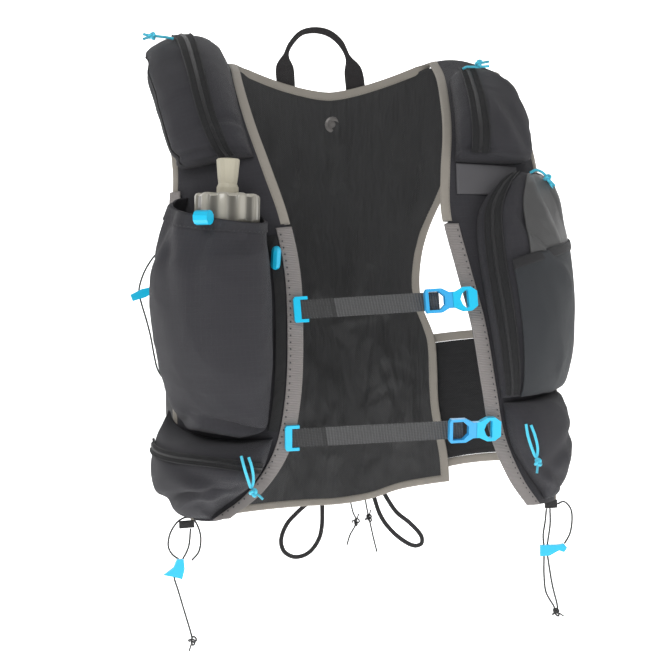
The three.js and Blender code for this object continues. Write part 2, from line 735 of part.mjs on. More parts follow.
addRibbon('left_axe_loop', [
  { at: 0.0, x: 45, z: -438.7, width: 4.5 },
  { at: 0.12, x: 53, z: -465.5, width: 4.5 },
  { at: 0.26, x: 64.5, z: -483.5, width: 4.5 },
  { at: 0.38, x: 78.5, z: -496.5, width: 4.5 },
  { at: 0.48, x: 90, z: -502.5, width: 4.5 },
  { at: 0.54, x: 97.5, z: -500.5, width: 4.5 },
  { at: 0.6, x: 97, z: -492, width: 4.5 },
  { at: 0.72, x: 85.5, z: -478, width: 4.5 },
  { at: 0.86, x: 69.5, z: -463, width: 4.5 },
  { at: 1.0, x: 53.5, z: -435.7, width: 4.5 },
], ribbonPlace, ribbonThickness, 18, colours.cord);

// Press snap on the inside of the back.
const snapRadius = 8;
const snapHeight = -63;
const snapShift = 10.5;
const snap = new THREE.LatheGeometry([
  new THREE.Vector2(0, 0),
  new THREE.Vector2(snapRadius, 0),
  new THREE.Vector2(snapRadius, 0.7),
  new THREE.Vector2(snapRadius - 2, 1.6),
  new THREE.Vector2(snapRadius - 4.5, 0.8),
  new THREE.Vector2(2.4, 1.9),
  new THREE.Vector2(0, 1.9),
], 16);
const snapMesh = add('hang_snap', closed(snap), colours.snap, 0.5, 0.3);
snapMesh.rotation.x = Math.PI;
snapMesh.position.copy(backPoint(snapShift, snapHeight, -panelWall - gap - chordGap));

// Soft bottle in the right front pocket, with a screw cap and a bite valve, all on one leaning axis.
const bottleRadius = 27.2;
const bottleWall = 1.6;
const bottleLength = 123;
const bottleTaper = 4;
const neckRadius = 20;
const neckLength = 22;
const capRadius = 27.5;
const capHeight = 27;
const capWall = 2.2;
const capFlutes = 20;
const fluteDepth = 0.9;
const capClearance = 1.2;
const valveRadius = 9.2;
const valveHeight = 29;
const capTop = new THREE.Vector3(-134.8, -112.5, -126);
const bottleAxis = new THREE.Vector3(0.07, 0.075, 1).normalize();

function lathe(profile, sides) {
  const geometry = new THREE.LatheGeometry(profile.map(([r, z]) => new THREE.Vector2(r, z)), sides);
  geometry.rotateX(Math.PI / 2);
  return geometry;
}

function onBottle(mesh, height) {
  mesh.quaternion.setFromUnitVectors(new THREE.Vector3(0, 0, 1), bottleAxis);
  mesh.position.copy(capTop).addScaledVector(bottleAxis, height);
}

const neckTop = -capWall - gap;
const shoulderTop = neckTop - neckLength;
const bodyTop = shoulderTop - 12;
const bodyBottom = shoulderTop - bottleLength;
const bottle = lathe([
  [0, bodyBottom],
  [bottleRadius - 5, bodyBottom],
  [bottleRadius - bottleTaper, bodyBottom + 6],
  [bottleRadius, bodyTop],
  [neckRadius, shoulderTop],
  [neckRadius, neckTop],
  [neckRadius - bottleWall, neckTop],
  [neckRadius - bottleWall, shoulderTop],
  [bottleRadius - bottleWall, bodyTop],
  [bottleRadius - bottleTaper - bottleWall, bodyBottom + 6],
  [bottleRadius - 5, bodyBottom + bottleWall],
  [0, bodyBottom + bottleWall],
], 16);
onBottle(add('bottle', closed(bottle), colours.bottle, 0.35), 0);

const capInner = neckRadius + capClearance;
const cap = lathe([
  [0, 0],
  [capRadius - 1.5, 0],
  [capRadius, -1.5],
  [capRadius, -capHeight + neckLength * 0.1],
  [capInner, -capHeight + neckLength * 0.1],
  [capInner, -capWall],
  [0, -capWall],
], capFlutes * 2);
const capPlaces = cap.attributes.position;
for (let i = 0; i < capPlaces.count; i++) {
  const x = capPlaces.getX(i);
  const y = capPlaces.getY(i);
  const radius = Math.hypot(x, y);
  if (radius < capRadius - 2) continue;
  const step = Math.round((Math.atan2(y, x) / Math.PI) * capFlutes);
  if (step % 2 === 0) continue;
  capPlaces.setX(i, x * (1 - fluteDepth / radius));
  capPlaces.setY(i, y * (1 - fluteDepth / radius));
}
onBottle(add('bottle_cap', closed(cap), colours.cap, 0.4), 0);

const valve = lathe([
  [0, 0],
  [valveRadius, 0],
  [valveRadius, 5],
  [valveRadius - 1.4, 8],
  [valveRadius - 0.6, 14],
  [valveRadius + 0.6, valveHeight - 1],
  [valveRadius - 0.4, valveHeight],
  [0, valveHeight],
], 14);
onBottle(add('bite_valve', closed(valve), colours.valve, 0.55), gap);

// Tubes along hand-chosen places.
function tube(places, diameter, steps, colour, name) {
  const points = places.map((place) => new THREE.Vector3(...place));
  const path = new THREE.CatmullRomCurve3(points, false, 'centripetal');
  const sides = 8;
  const section = new THREE.Shape();
  for (let i = 0; i < sides; i++) {
    const turn = (i / sides) * 2 * Math.PI;
    const corner = [(diameter / 2) * Math.cos(turn), (diameter / 2) * Math.sin(turn)];
    if (i === 0) section.moveTo(...corner);
    else section.lineTo(...corner);
  }
  section.closePath();
  const geometry = new THREE.ExtrudeGeometry(section, { steps, bevelEnabled: false, extrudePath: path });
  add(name, closed(geometry), colour, 0.7);
}

// Blue cord pulls on the zip sliders, in millimetres.
tube([[-157, 26.2, 14.9], [-163.7, 26, 16.2], [-171, 25, 17], [-178, 24.5, 17.6], [-184.7, 24, 19]],
  pullCord, 5, colours.blue, 'right_shoulder_pull');
tube([[112.7, 7.5, -17.3], [116, 6, -15.6], [120, 5, -15.6], [127, 5, -15.7], [138, 5, -15]],
  pullCord, 5, colours.blue, 'left_shoulder_pull');
tube([[151, -65.4, -116.2], [156.2, -68, -113.7], [162.9, -70, -117.5], [167.6, -71, -125.8],
  [169.9, -71.5, -132.2]],
  pullCord, 4, colours.blue, 'left_tall_pull');
tube([[-135.5, -139.4, -343.8], [-134.2, -143.6, -352], [-131, -142, -363.4], [-127.9, -138, -371.2],
  [-126, -140, -364.1], [-127.6, -142.8, -352.4], [-129.6, -141, -344.8]],
pullCord, 11, colours.blue, 'right_lower_pull');
tube([[118.6, -132.1, -334.4], [120.1, -132.8, -345.1], [124.5, -130.8, -357.3], [128.6, -129.4, -365],
  [129.3, -131.5, -356.6], [126.4, -133.4, -345.4], [123.1, -132.5, -335.5]],
pullCord, 11, colours.blue, 'left_lower_pull');

// Side zip beside the bottle pocket, with its moulded pull.
const sideZipWidth = 8.5;
const sideZipInset = tapeWidth + 3 * gap;
const sideZipStart = 0.505;
const sideZipEnd = 0.82;
const sideZipFace = (lift) => (u, v) => {
  const at = THREE.MathUtils.lerp(sideZipStart, sideZipEnd, u);
  return strapPoint(rightStrap, at, fromInner(rightStrap, at, sideZipInset + sideZipWidth * v), lift);
};
add('bottle_pocket_zip', wall(sideZipFace(gap + zipThickness), sideZipFace(gap), 12, 1), colours.mesh, 0.7);
const zipPullRadius = 4.2;
const zipPullLength = 12;
const zipPull = new THREE.CapsuleGeometry(zipPullRadius, zipPullLength, 3, 8);
zipPull.rotateX(Math.PI / 2);
const zipPullMesh = add('bottle_pocket_pull', closed(zipPull), colours.blue, 0.5);
const pullAt = 0.545;
const pullLift = 2 * gap + zipThickness + chordGap + zipPullRadius;
zipPullMesh.position.copy(
  strapPoint(rightStrap, pullAt, fromInner(rightStrap, pullAt, sideZipInset + sideZipWidth / 2), pullLift),
);
zipPullMesh.rotation.y = 0.1;

// Cord lock on the bottle pocket's mouth.
const lockRadius = 6;
const lockLength = 13;
const lockPlace = { u: 0.02, v: 0.5 };
const lock = new THREE.CylinderGeometry(lockRadius, lockRadius, lockLength, 10);
const lockMesh = add('mouth_cord_lock', closed(lock), colours.blue, 0.45);
lockMesh.position.copy(pouchPoint(bottlePocket, lockPlace.u, lockPlace.v, gap * 2 + lockRadius));
lockMesh.rotation.z = 0.9;

// Chest straps: each a slider on the right tape, webbing and a two-part side-release buckle.
const sliderLength = 12.4;
const sliderHeight = 22;
const sliderBar = 6;
const sliderThickness = 3.2;
const buckleHeight = 21;
const buckleWaist = 14;
const buckleThickness = 5.6;
const maleLength = 24.5;
const femaleLength = 22.5;

function outline(points) {
  const shape = new THREE.Shape();
  points.forEach(([x, z], i) => (i === 0 ? shape.moveTo(x, z) : shape.lineTo(x, z)));
  shape.closePath();
  return shape;
}

function plate(shape, thickness) {
  const geometry = new THREE.ExtrudeGeometry(shape, { depth: thickness, bevelEnabled: false });
  geometry.rotateX(Math.PI / 2);
  return closed(geometry);
}

const endInset = 8.5;
const strapSeat = 0.6;

// The place on a front's tape, at a height, where a chest strap's end rests.
function tapePlace(strap, height) {
  let low = tapeStart;
  let high = 1;
  const face = (at) => strapPoint(strap, at, fromInner(strap, at, endInset), tapeLift + tapeThickness);
  for (let i = 0; i < 30; i++) {
    const middle = (low + high) / 2;
    if (face(middle).z > height) low = middle;
    else high = middle;
  }
  const rise = face(low - 0.02).sub(face(low + 0.02));
  return { point: face(low), lean: rise.y / rise.z };
}

function chestStrap(name, rightHeight, leftHeight) {
  const right = tapePlace(rightStrap, rightHeight);
  const left = tapePlace(leftStrap, leftHeight);
  const along = left.point.clone().sub(right.point);
  const length = along.length();
  const group = new THREE.Group();
  const side = along.normalize();
  const up = new THREE.Vector3(0, (right.lean + left.lean) / 2, 1);
  const back = up.clone().cross(side).normalize();
  const frame = new THREE.Matrix4().makeBasis(side, back, side.clone().cross(back));
  group.quaternion.setFromRotationMatrix(frame);
  group.position.copy(right.point).addScaledVector(back, -strapSeat);
  vest.add(group);
  const place = (part, geometry, colour, x, y) => {
    const mesh = new THREE.Mesh(geometry, material(colour, 0.45));
    mesh.name = part;
    mesh.position.set(x, y, 0);
    group.add(mesh);
  };
  const h = sliderHeight / 2;
  const mouth = webbingWidth / 2 + gap;
  const slider = outline([
    [1.5, -h], [sliderLength, -h], [sliderLength, -mouth], [sliderBar, -mouth],
    [sliderBar, mouth], [sliderLength, mouth], [sliderLength, h], [1.5, h], [0, h - 2], [0, -h + 2],
  ]);
  place(`${name}_slider`, plate(slider, sliderThickness), colours.blue, 0, -gap);

  const b = buckleHeight / 2;
  const w = buckleWaist / 2;
  const webEnd = length - femaleLength - maleLength + 14;
  const web = outline([
    [sliderBar + gap, -webbingWidth / 2], [webEnd, -webbingWidth / 2],
    [webEnd, webbingWidth / 2], [sliderBar + gap, webbingWidth / 2],
  ]);
  place(`${name}_strap`, plate(web, webbingThickness), colours.webbing, 0, -gap - webbingThickness / 2);

  const front = -gap * 2 - webbingThickness * 1.5;
  const male = outline([
    [1.5, -b], [15, -b], [maleLength - 3, -w], [maleLength, -w], [maleLength, w],
    [maleLength - 3, w], [15, b], [1.5, b], [0, b - 3], [0, -b + 3],
  ]);
  male.holes.push(outline([
    [3, -b + 2.4], [3, b - 2.4], [12.5, b - 2.4], [17.5, 3.5], [17.5, -3.5], [12.5, -b + 2.4],
  ]));
  const maleStart = length - femaleLength - maleLength;
  place(`${name}_buckle_male`, plate(male, buckleThickness), colours.paleBlue, maleStart, front);

  const female = outline([
    [gap, -w], [3, -w], [10, -b], [17, -b], [femaleLength, -b + 4], [femaleLength, b - 4],
    [17, b], [10, b], [3, w], [gap, w],
  ]);
  female.holes.push(outline([
    [7, 0], [9, 5], [12.5, b - 2.4], [14.5, b - 3.4], [14.5, -b + 3.4], [12.5, -b + 2.4], [9, -5],
  ]));
  const femaleStart = maleStart + maleLength;
  place(`${name}_buckle_female`, plate(female, buckleThickness), colours.blue, femaleStart, front);
}

const chestStraps = {
  upper: { right: -226, left: -224 },
  lower: { right: -334, left: -337 },
};
chestStrap('upper_chest', chestStraps.upper.right, chestStraps.upper.left);
chestStrap('lower_chest', chestStraps.lower.right, chestStraps.lower.left);

// Elastic cords on the sides and lower tips, with blue hooks and plain tabs, in millimetres.
tube([[-176.6, -39.5, -171.5], [-184.3, -29, -175.5], [-192.4, -26, -184.8], [-199, -25, -196.2], [-203.1, -25, -209.3],
  [-201.9, -27, -219.9], [-197.6, -29, -237.8], [-194.9, -31, -252], [-193, -33, -267],
  [-190.8, -34, -279], [-187, -38.5, -286.5], [-181.2, -44.7, -291]], thinCord, 24, colours.cord, 'right_side_cord');
tube([[-172.5, -79, -415.6], [-174.8, -79, -431.4], [-180.7, -79, -442.5], [-186, -79, -449],
  [-188.5, -79, -457.4], [-185.6, -79, -469.3], [-181.1, -79, -487.6], [-176.5, -79, -506],
  [-175, -79, -513]], thinCord, 24, colours.cord, 'right_corner_cord');
tube([[-182, -75, -444], [-189, -75, -438], [-192.1, -75, -430], [-189.8, -75, -419],
  [-183, -74, -410], [-175, -74, -406.5], [-168, -74, -410], [-163.5, -75, -423],
  [-165.2, -75, -437], [-172, -75, -445]], thinCord, 26, colours.cord, 'right_corner_loop');
tube([[161.3, -76, -424.9], [161.2, -76, -440], [158, -76, -461], [159, -76, -474],
  [162.5, -76, -497], [167.3, -76, -518], [165, -76, -521.5], [163.5, -76, -517],
  [156.2, -76, -503.3], [154.5, -76, -487], [154.7, -76, -472.8], [155, -76, -461.6],
  [154.3, -76, -449.3], [156.5, -76, -436],
  [157.8, -76, -424.9]], thinCord, 40, colours.cord, 'left_corner_cord');
tube([[168.8, -76, -421], [175.5, -76, -419.5], [181.8, -76, -427], [182.8, -76, -438],
  [180.5, -76, -450], [175, -76, -459]], thinCord, 12, colours.cord, 'left_corner_loop');
tube([[20.6, 131.4, -444], [24.8, 134, -461.8], [27.8, 134, -469.4], [26.5, 134, -476.7],
  [20.9, 134, -485.8], [17.4, 134, -496]], thinCord, 10, colours.cord, 'right_bungee_end');
tube([[36.3, 130.4, -441], [39.9, 134, -459.8], [41.8, 134, -469.5], [43.7, 134, -479.2],
  [46.5, 134, -493.3], [49.4, 134, -506]], thinCord, 10, colours.cord, 'left_bungee_end');

const hookThickness = 3.2;
function hook(name, points, position, turn) {
  const mesh = add(name, plate(outline(points), hookThickness), colours.blue, 0.45);
  mesh.position.set(...position);
  mesh.rotation.y = turn;
}
const cordClear = thinCord / 2 + gap;
hook('right_side_hook', [[-10, -3], [2, -4], [10.5, -2.5], [10.5, 2.5], [2, 4], [-10, 3]],
  [-201, -26.3 - cordClear, -212.5], -0.33);
hook('right_corner_hook', [[-11, -4], [-2, -6.5], [5, -9], [7.5, 0], [7, 8.5], [1, 9], [-2, 2]],
  [-187, -79 - cordClear, -450], 0);
hook('left_corner_hook', [[-6, -5], [3, -5], [12, -1], [17, -3], [20, 1], [17, 5], [11, 4.5], [-6, 5.5]],
  [156, -76 - cordClear, -463], 0);

const tabThickness = 4;
const tabDrop = 0.6;
function tab(name, strap, width, height, shift) {
  const mesh = add(name, closed(new THREE.BoxGeometry(width, tabThickness, height)), colours.cord, 0.8);
  mesh.position.copy(strapPoint(strap, 1, 1, -panelWall / 2));
  mesh.position.x += shift;
  mesh.position.z -= height / 2 + tabDrop;
}
tab('right_corner_tab', rightStrap, 13, 6, -4.5);
tab('left_corner_tab', leftStrap, 11, 7.5, -4);

export default vest;
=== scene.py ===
# Running hydration vest, as worn: its looks, in metres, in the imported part's frame.
# +Z is up, the fronts face -Y and +X is the wearer's left. Right and left are the wearer's.

import bpy
import numpy as np
from mathutils import Matrix, Vector


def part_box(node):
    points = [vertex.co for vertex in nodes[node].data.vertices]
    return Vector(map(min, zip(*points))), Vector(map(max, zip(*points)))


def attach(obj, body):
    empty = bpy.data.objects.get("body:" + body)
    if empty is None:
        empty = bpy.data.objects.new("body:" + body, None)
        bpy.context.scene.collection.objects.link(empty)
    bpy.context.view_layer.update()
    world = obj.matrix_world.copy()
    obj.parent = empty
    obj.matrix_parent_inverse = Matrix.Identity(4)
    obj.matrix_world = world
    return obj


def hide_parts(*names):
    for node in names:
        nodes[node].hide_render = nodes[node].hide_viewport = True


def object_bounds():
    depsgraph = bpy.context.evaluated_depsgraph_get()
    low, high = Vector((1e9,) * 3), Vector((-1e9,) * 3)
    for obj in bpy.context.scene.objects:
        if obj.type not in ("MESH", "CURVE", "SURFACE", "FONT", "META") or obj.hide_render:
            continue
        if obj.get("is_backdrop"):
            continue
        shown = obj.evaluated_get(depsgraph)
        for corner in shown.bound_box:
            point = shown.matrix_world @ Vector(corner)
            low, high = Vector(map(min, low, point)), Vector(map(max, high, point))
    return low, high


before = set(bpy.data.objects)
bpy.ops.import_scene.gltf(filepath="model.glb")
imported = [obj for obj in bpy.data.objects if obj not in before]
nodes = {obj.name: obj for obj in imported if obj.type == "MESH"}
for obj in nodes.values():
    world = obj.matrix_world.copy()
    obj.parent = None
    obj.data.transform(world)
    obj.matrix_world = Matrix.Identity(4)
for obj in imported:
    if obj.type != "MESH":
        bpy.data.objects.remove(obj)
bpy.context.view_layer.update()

# Camera. A product shot from the front, slightly above the vest and from its right side.
camera_turn, camera_rise, camera_roll = np.radians([-13.0, 5.96, -1.67])
camera_distance = 1.4279
aim_across, aim_height = -0.0208, -0.2605
focal_share = 2.2853
sensor_width = 36

level = Vector((np.cos(camera_turn), np.sin(camera_turn), 0))
back = Vector((
    np.sin(camera_turn) * np.cos(camera_rise),
    -np.cos(camera_turn) * np.cos(camera_rise),
    np.sin(camera_rise),
))
upright = back.cross(level)
camera_right = np.cos(camera_roll) * level + np.sin(camera_roll) * upright
camera_up = np.cos(camera_roll) * upright - np.sin(camera_roll) * level
stand = Vector((0, 0, aim_height)) + aim_across * level + camera_distance * back
camera = bpy.data.objects.new("camera", bpy.data.cameras.new("camera"))
bpy.context.scene.collection.objects.link(camera)
camera.matrix_world = Matrix((camera_right, camera_up, back)).transposed().to_4x4()
camera.matrix_world.translation = stand
camera.data.sensor_width = sensor_width
camera.data.lens = focal_share * sensor_width
bpy.context.scene.camera = camera


# Elastic shock cord and its blue zip pulls. Braided polyester over rubber, threaded by hand and knotted:
# a fine diagonal braid, with each knot drawn tight.
def linear(colour):
    """The linear colour of an sRGB hex value."""
    channels = np.array([(colour >> shift) & 255 for shift in (16, 8, 0)]) / 255
    low = channels / 12.92
    high = ((channels + 0.055) / 1.055) ** 2.4
    return (*np.where(channels <= 0.04045, low, high), 1.0)


def node(tree, kind, inputs=None, **settings):
    """Adds a shader node. Each input is a value or another node's output."""
    made = tree.nodes.new("ShaderNode" + kind)
    for name, value in settings.items():
        setattr(made, name, value)
    for name, value in (inputs or {}).items():
        if isinstance(value, bpy.types.NodeSocket):
            tree.links.new(value, made.inputs[name])
        else:
            made.inputs[name].default_value = value
    return made


def calc(tree, operation, *values):
    """The output of a math node."""
    return node(tree, "Math", dict(enumerate(values)), operation=operation).outputs[0]


def new_material(name, roughness, **inputs):
    """A principled material's tree, its shader, and the two axes of the piece's own map, in metres."""
    material = bpy.data.materials.new(name)
    material.use_nodes = True
    tree = material.node_tree
    shader = tree.nodes["Principled BSDF"]
    shader.inputs["Roughness"].default_value = roughness
    for key, value in inputs.items():
        shader.inputs[key.replace("_", " ").title()].default_value = value
    axes = node(tree, "SeparateXYZ", {0: node(tree, "UVMap").outputs[0]})
    return material, tree, shader, axes.outputs[0], axes.outputs[1]


def wave(tree, axis, pitch, phase=0.0):
    """A sine along one axis, from -1 to 1, that repeats at a pitch in metres."""
    return calc(tree, "SINE", calc(tree, "MULTIPLY_ADD", axis, 2 * np.pi / pitch, phase))


def tinted(tree, shader, colour, variation, patch, extra=None):
    """Lightens and darkens a colour in soft patches of a size in metres, and by an extra factor, mostly
    painted shade and highlight on the relief.
    """
    where = node(tree, "TexCoord").outputs["Object"]
    noise = node(tree, "TexNoise",
                 {"Vector": where, "Scale": 1 / patch, "Detail": 5.0, "Roughness": 0.6})
    value = calc(tree, "MULTIPLY_ADD", noise.outputs[0], 2 * variation, 1 - variation)
    if extra is not None:
        value = calc(tree, "MULTIPLY", value, extra)
    shade = node(tree, "HueSaturation", {"Value": value, "Color": linear(colour)})
    tree.links.new(shade.outputs[0], shader.inputs["Base Color"])
    return noise.outputs[0]


def raised(tree, shader, height, depth):
    """Gives a height pattern a relief in metres."""
    bump = node(tree, "Bump", {"Height": height, "Distance": depth, "Strength": 1.0})
    tree.links.new(bump.outputs[0], shader.inputs["Normal"])


def braid(name, colour, plaits, strand_count=4):
    """Braided cord: crossing strands that catch the light in turn. A cord's own map runs from 0 to 1 along
    and around it, so the braid is given as plaits along a cord and strands around it."""
    material, tree, shader, along, around = new_material(name, 0.55, sheen_weight=0.25)
    along, around = calc(tree, "MULTIPLY", along, plaits), calc(tree, "MULTIPLY", around, strand_count)
    one = wave(tree, calc(tree, "ADD", along, around), 1.0)
    two = wave(tree, calc(tree, "SUBTRACT", along, around), 1.0)
    strands = calc(tree, "MAXIMUM", one, two)
    # The cord's colour is lifted on the strands' crests and lowered in the grooves between them: painted
    # highlight and painted shade.
    tinted(tree, shader, colour, 0.1, 0.004, calc(tree, "MULTIPLY_ADD", strands, 0.06, 0.97))
    raised(tree, shader, strands, 0.0002)
    return material


black_cord = braid("black_elastic_cord_braided", 0x232325, 60)
blue_cord = braid("blue_polyester_cord_braided", 0x4CD9F7, 40)


def smooth_path(places, steps):
    """Points along a soft curve through the places."""
    p = np.array([places[0], *places, places[-1]], float)
    p[0], p[-1] = 2 * p[1] - p[2], 2 * p[-2] - p[-3]
    found = []
    for i in range(len(places) - 1):
        a, b, c, d = p[i : i + 4]
        for t in np.arange(steps) / steps:
            found.append(0.5 * (2 * b + (c - a) * t + (2 * a - 5 * b + 4 * c - d) * t**2
                                + (3 * b - a - 3 * c + d) * t**3))
    return np.array([*found, p[-2]])


def finish_piece(piece, material, body="vest", stands_for=()):
    """Puts a piece in the scene with its material, on its body."""
    bpy.context.scene.collection.objects.link(piece)
    piece.data.materials.clear()
    piece.data.materials.append(material)
    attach(piece, body)
    if stands_for:
        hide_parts(*stands_for)
    return piece


def cord_curve(name, places, diameter, material, stands_for=(), steps=6):
    """A round cord along the places."""
    curve = bpy.data.curves.new(name, "CURVE")
    curve.dimensions = "3D"
    curve.bevel_depth = diameter / 2
    curve.bevel_resolution = 3
    curve.use_fill_caps = True
    path = smooth_path(places, steps)
    line = curve.splines.new("POLY")
    line.points.add(len(path) - 1)
    for point, place in zip(line.points, path):
        point.co = (*place, 1)
    return finish_piece(bpy.data.objects.new(name, curve), material, stands_for=stands_for)


def knot(name, centre, size, diameter, material, turn=0.0):
    """An overhand knot: one trefoil turn of the cord, drawn tight."""
    t = np.linspace(0, 2 * np.pi, 12, endpoint=False)
    x = (np.sin(t) + 2 * np.sin(2 * t)) / 3
    z = (np.cos(t) - 2 * np.cos(2 * t)) / 3
    y = -np.sin(3 * t)
    c, s = np.cos(turn), np.sin(turn)
    shape = np.stack([c * x - s * z, 0.7 * y, s * x + c * z], axis=1) * (size - diameter) / 2
    return cord_curve(name, np.array(centre) + shape, diameter, material, steps=5)


thin_cord = 0.0016
pull_cord = 0.0026
# Each row: name, diameter, cut length, far end, places from where it leaves its carrier, and its knots.
cord_rows = [
    ("right_side_cord", thin_cord, 0.144, "object", [
        (-.1766, -.0395, -.1715), (-.1843, -.029, -.1755), (-.1924, -.026, -.1848), (-.199, -.025, -.1962),
        (-.2031, -.025, -.2093), (-.2019, -.027, -.2199), (-.1976, -.029, -.2378), (-.1949, -.031, -.252),
        (-.193, -.033, -.267), (-.1908, -.034, -.279), (-.187, -.0385, -.2865), (-.1812, -.0447, -.291)]),
    ("right_corner_cord", thin_cord, 0.1, "knot", [
        (-.1725, -.079, -.4156), (-.1748, -.079, -.4314), (-.1807, -.079, -.4425), (-.186, -.079, -.449),
        (-.1885, -.079, -.4574), (-.1856, -.079, -.4693), (-.1811, -.079, -.4876), (-.1765, -.079, -.506),
        (-.175, -.079, -.513)]),
    ("right_corner_loop", thin_cord, 0.096, "object", [
        (-.182, -.075, -.444), (-.189, -.075, -.438), (-.1921, -.075, -.43), (-.1898, -.075, -.419),
        (-.183, -.074, -.41), (-.175, -.074, -.4065), (-.168, -.074, -.41), (-.1635, -.075, -.423),
        (-.1652, -.075, -.437), (-.172, -.075, -.445)]),
    ("left_corner_cord", thin_cord, 0.2, "object", [
        (.1613, -.076, -.4249), (.1612, -.076, -.44), (.158, -.076, -.461), (.159, -.076, -.474),
        (.1625, -.076, -.497), (.1673, -.076, -.518), (.165, -.076, -.5215), (.1635, -.076, -.517),
        (.1562, -.076, -.5033), (.1545, -.076, -.487), (.1547, -.076, -.4728), (.155, -.076, -.4616),
        (.1543, -.076, -.4493), (.1565, -.076, -.436), (.1578, -.076, -.4249)]),
    ("left_corner_loop", thin_cord, 0.051, "object", [
        (.1688, -.076, -.421), (.1755, -.076, -.4195), (.1818, -.076, -.427), (.1828, -.076, -.438),
        (.1805, -.076, -.45), (.175, -.076, -.459)]),
    ("right_bungee_end", thin_cord, 0.054, "bare", [
        (.0206, .1314, -.444), (.0248, .134, -.4618), (.0278, .134, -.4694), (.0265, .134, -.4767),
        (.0209, .134, -.4858), (.0174, .134, -.496)]),
    ("left_bungee_end", thin_cord, 0.067, "bare", [
        (.0363, .1304, -.441), (.0399, .134, -.4598), (.0418, .134, -.4695), (.0437, .134, -.4792),
        (.0465, .134, -.4933), (.0494, .134, -.506)]),
    ("right_lower_pull", pull_cord, 0.06, "object", [
        (-.1355, -.1394, -.3438), (-.1342, -.1436, -.352), (-.131, -.142, -.3634), (-.1279, -.138, -.3712),
        (-.126, -.14, -.3641), (-.1276, -.1428, -.3524), (-.1296, -.141, -.3448)]),
    ("left_lower_pull", pull_cord, 0.063, "object", [
        (.1186, -.1321, -.3344), (.1201, -.1328, -.3451), (.1245, -.1308, -.3573), (.1286, -.1294, -.365),
        (.1293, -.1315, -.3566), (.1264, -.1334, -.3454), (.1231, -.1325, -.3355)]),
]
# Knots and cut tails: name, cord that it is on, place, size, turn and the tail's end.
knot_rows = {
    "right_side_cord": [("right_side_knot", (-.183, -.047, -.295), 0.0078, 0.4, (-.179, -.049, -.308))],
    "right_corner_cord": [("right_corner_knot", (-.1745, -.079, -.516), 0.009, 0.3, (-.178, -.079, -.525))],
    "left_corner_cord": [("left_corner_knot", (.1655, -.0765, -.5235), 0.009, 0.9, (.173, -.0765, -.5275))],
    "right_bungee_end": [("right_bungee_knot", (.0275, .134, -.4725), 0.0095, 0.2, (.031, .1335, -.464))],
    "left_bungee_end": [("left_bungee_knot", (.0415, .134, -.4695), 0.0095, 0.8, (.044, .1335, -.4605))],
    "right_lower_pull": [("right_lower_knot", (-.1262, -.1392, -.3755), 0.0085, 0.5, (-.1185, -.14, -.3815))],
    "left_lower_pull": [("left_lower_knot", (.1297, -.1312, -.3695), 0.0085, 1.0, (.1285, -.131, -.379))],
}
for name, diameter, length, far_end, places in cord_rows:
    material = blue_cord if name.endswith("_pull") else black_cord
    line = cord_curve(name + "_line", places, diameter, material, stands_for=[name])
    for knot_name, centre, size, turn, tail in knot_rows.get(name, []):
        knot(knot_name, centre, size, diameter, material, turn)
        tail_places = [centre, np.add(centre, tail) / 2 + (0, 0, diameter / 3), tail]
        cord_curve(knot_name + "_tail", tail_places, 0.85 * diameter, material)

# Short blue pulls on the three upper zips, each one cord end with its knot.
pull_rows = [
    ("right_shoulder_pull", [(-.157, .0262, .0149), (-.1637, .026, .0162), (-.171, .025, .017),
                             (-.178, .0245, .0176), (-.1847, .024, .019)], (-.1765, .0245, .0172),
                             (-.185, .0242, .0145)),
    ("left_shoulder_pull", [(.1127, .0075, -.0173), (.116, .006, -.0156), (.12, .005, -.0156),
                            (.127, .005, -.0157), (.138, .005, -.015)], (.1275, .004, -.0125),
                            (.1375, .004, -.0108)),
    ("left_tall_pull", [(.151, -.0654, -.1162), (.1562, -.068, -.1137), (.1629, -.07, -.1175),
                        (.1676, -.071, -.1258), (.1699, -.0715, -.1322)], (.1655, -.0712, -.1215),
                        (.1722, -.0712, -.1285)),
]
for name, places, centre, tail in pull_rows:
    cord_curve(name + "_line", places, pull_cord, blue_cord, stands_for=[name])
    knot(name + "_knot", centre, 0.0085, pull_cord, blue_cord, 0.6)
    cord_curve(name + "_tail", [centre, tail], pull_cord, blue_cord)


# Shoulder straps and fronts. Laminated ripstop nylon over thin foam, cut to curve over the shoulder and sewn
# down the edges: a flat charcoal cloth with a faint square grid and soft dents along the seams.
def table(columns, rows):
    """Named columns of a short table."""
    return {name: np.array(column) for name, column in zip(columns.split(), zip(*rows))}


def read(rows, key, share):
    """A column of a table at shares along it, on a smooth curve through the rows."""
    at, value = rows["at"], rows[key]
    last = len(at) - 1
    before = np.maximum(np.arange(last + 1) - 1, 0)
    after = np.minimum(np.arange(last + 1) + 1, last)
    slope = (value[after] - value[before]) / (at[after] - at[before])
    k = np.clip(np.searchsorted(at, share, side="right") - 1, 0, last - 1)
    span = at[k + 1] - at[k]
    t = np.clip((share - at[k]) / span, 0, 1)
    keep = (1 + 2 * t) * (1 - t) ** 2
    bend = t * (1 - t) ** 2 * span * slope[k] + t**2 * (t - 1) * span * slope[k + 1]
    return keep * value[k] + (1 - keep) * value[k + 1] + bend


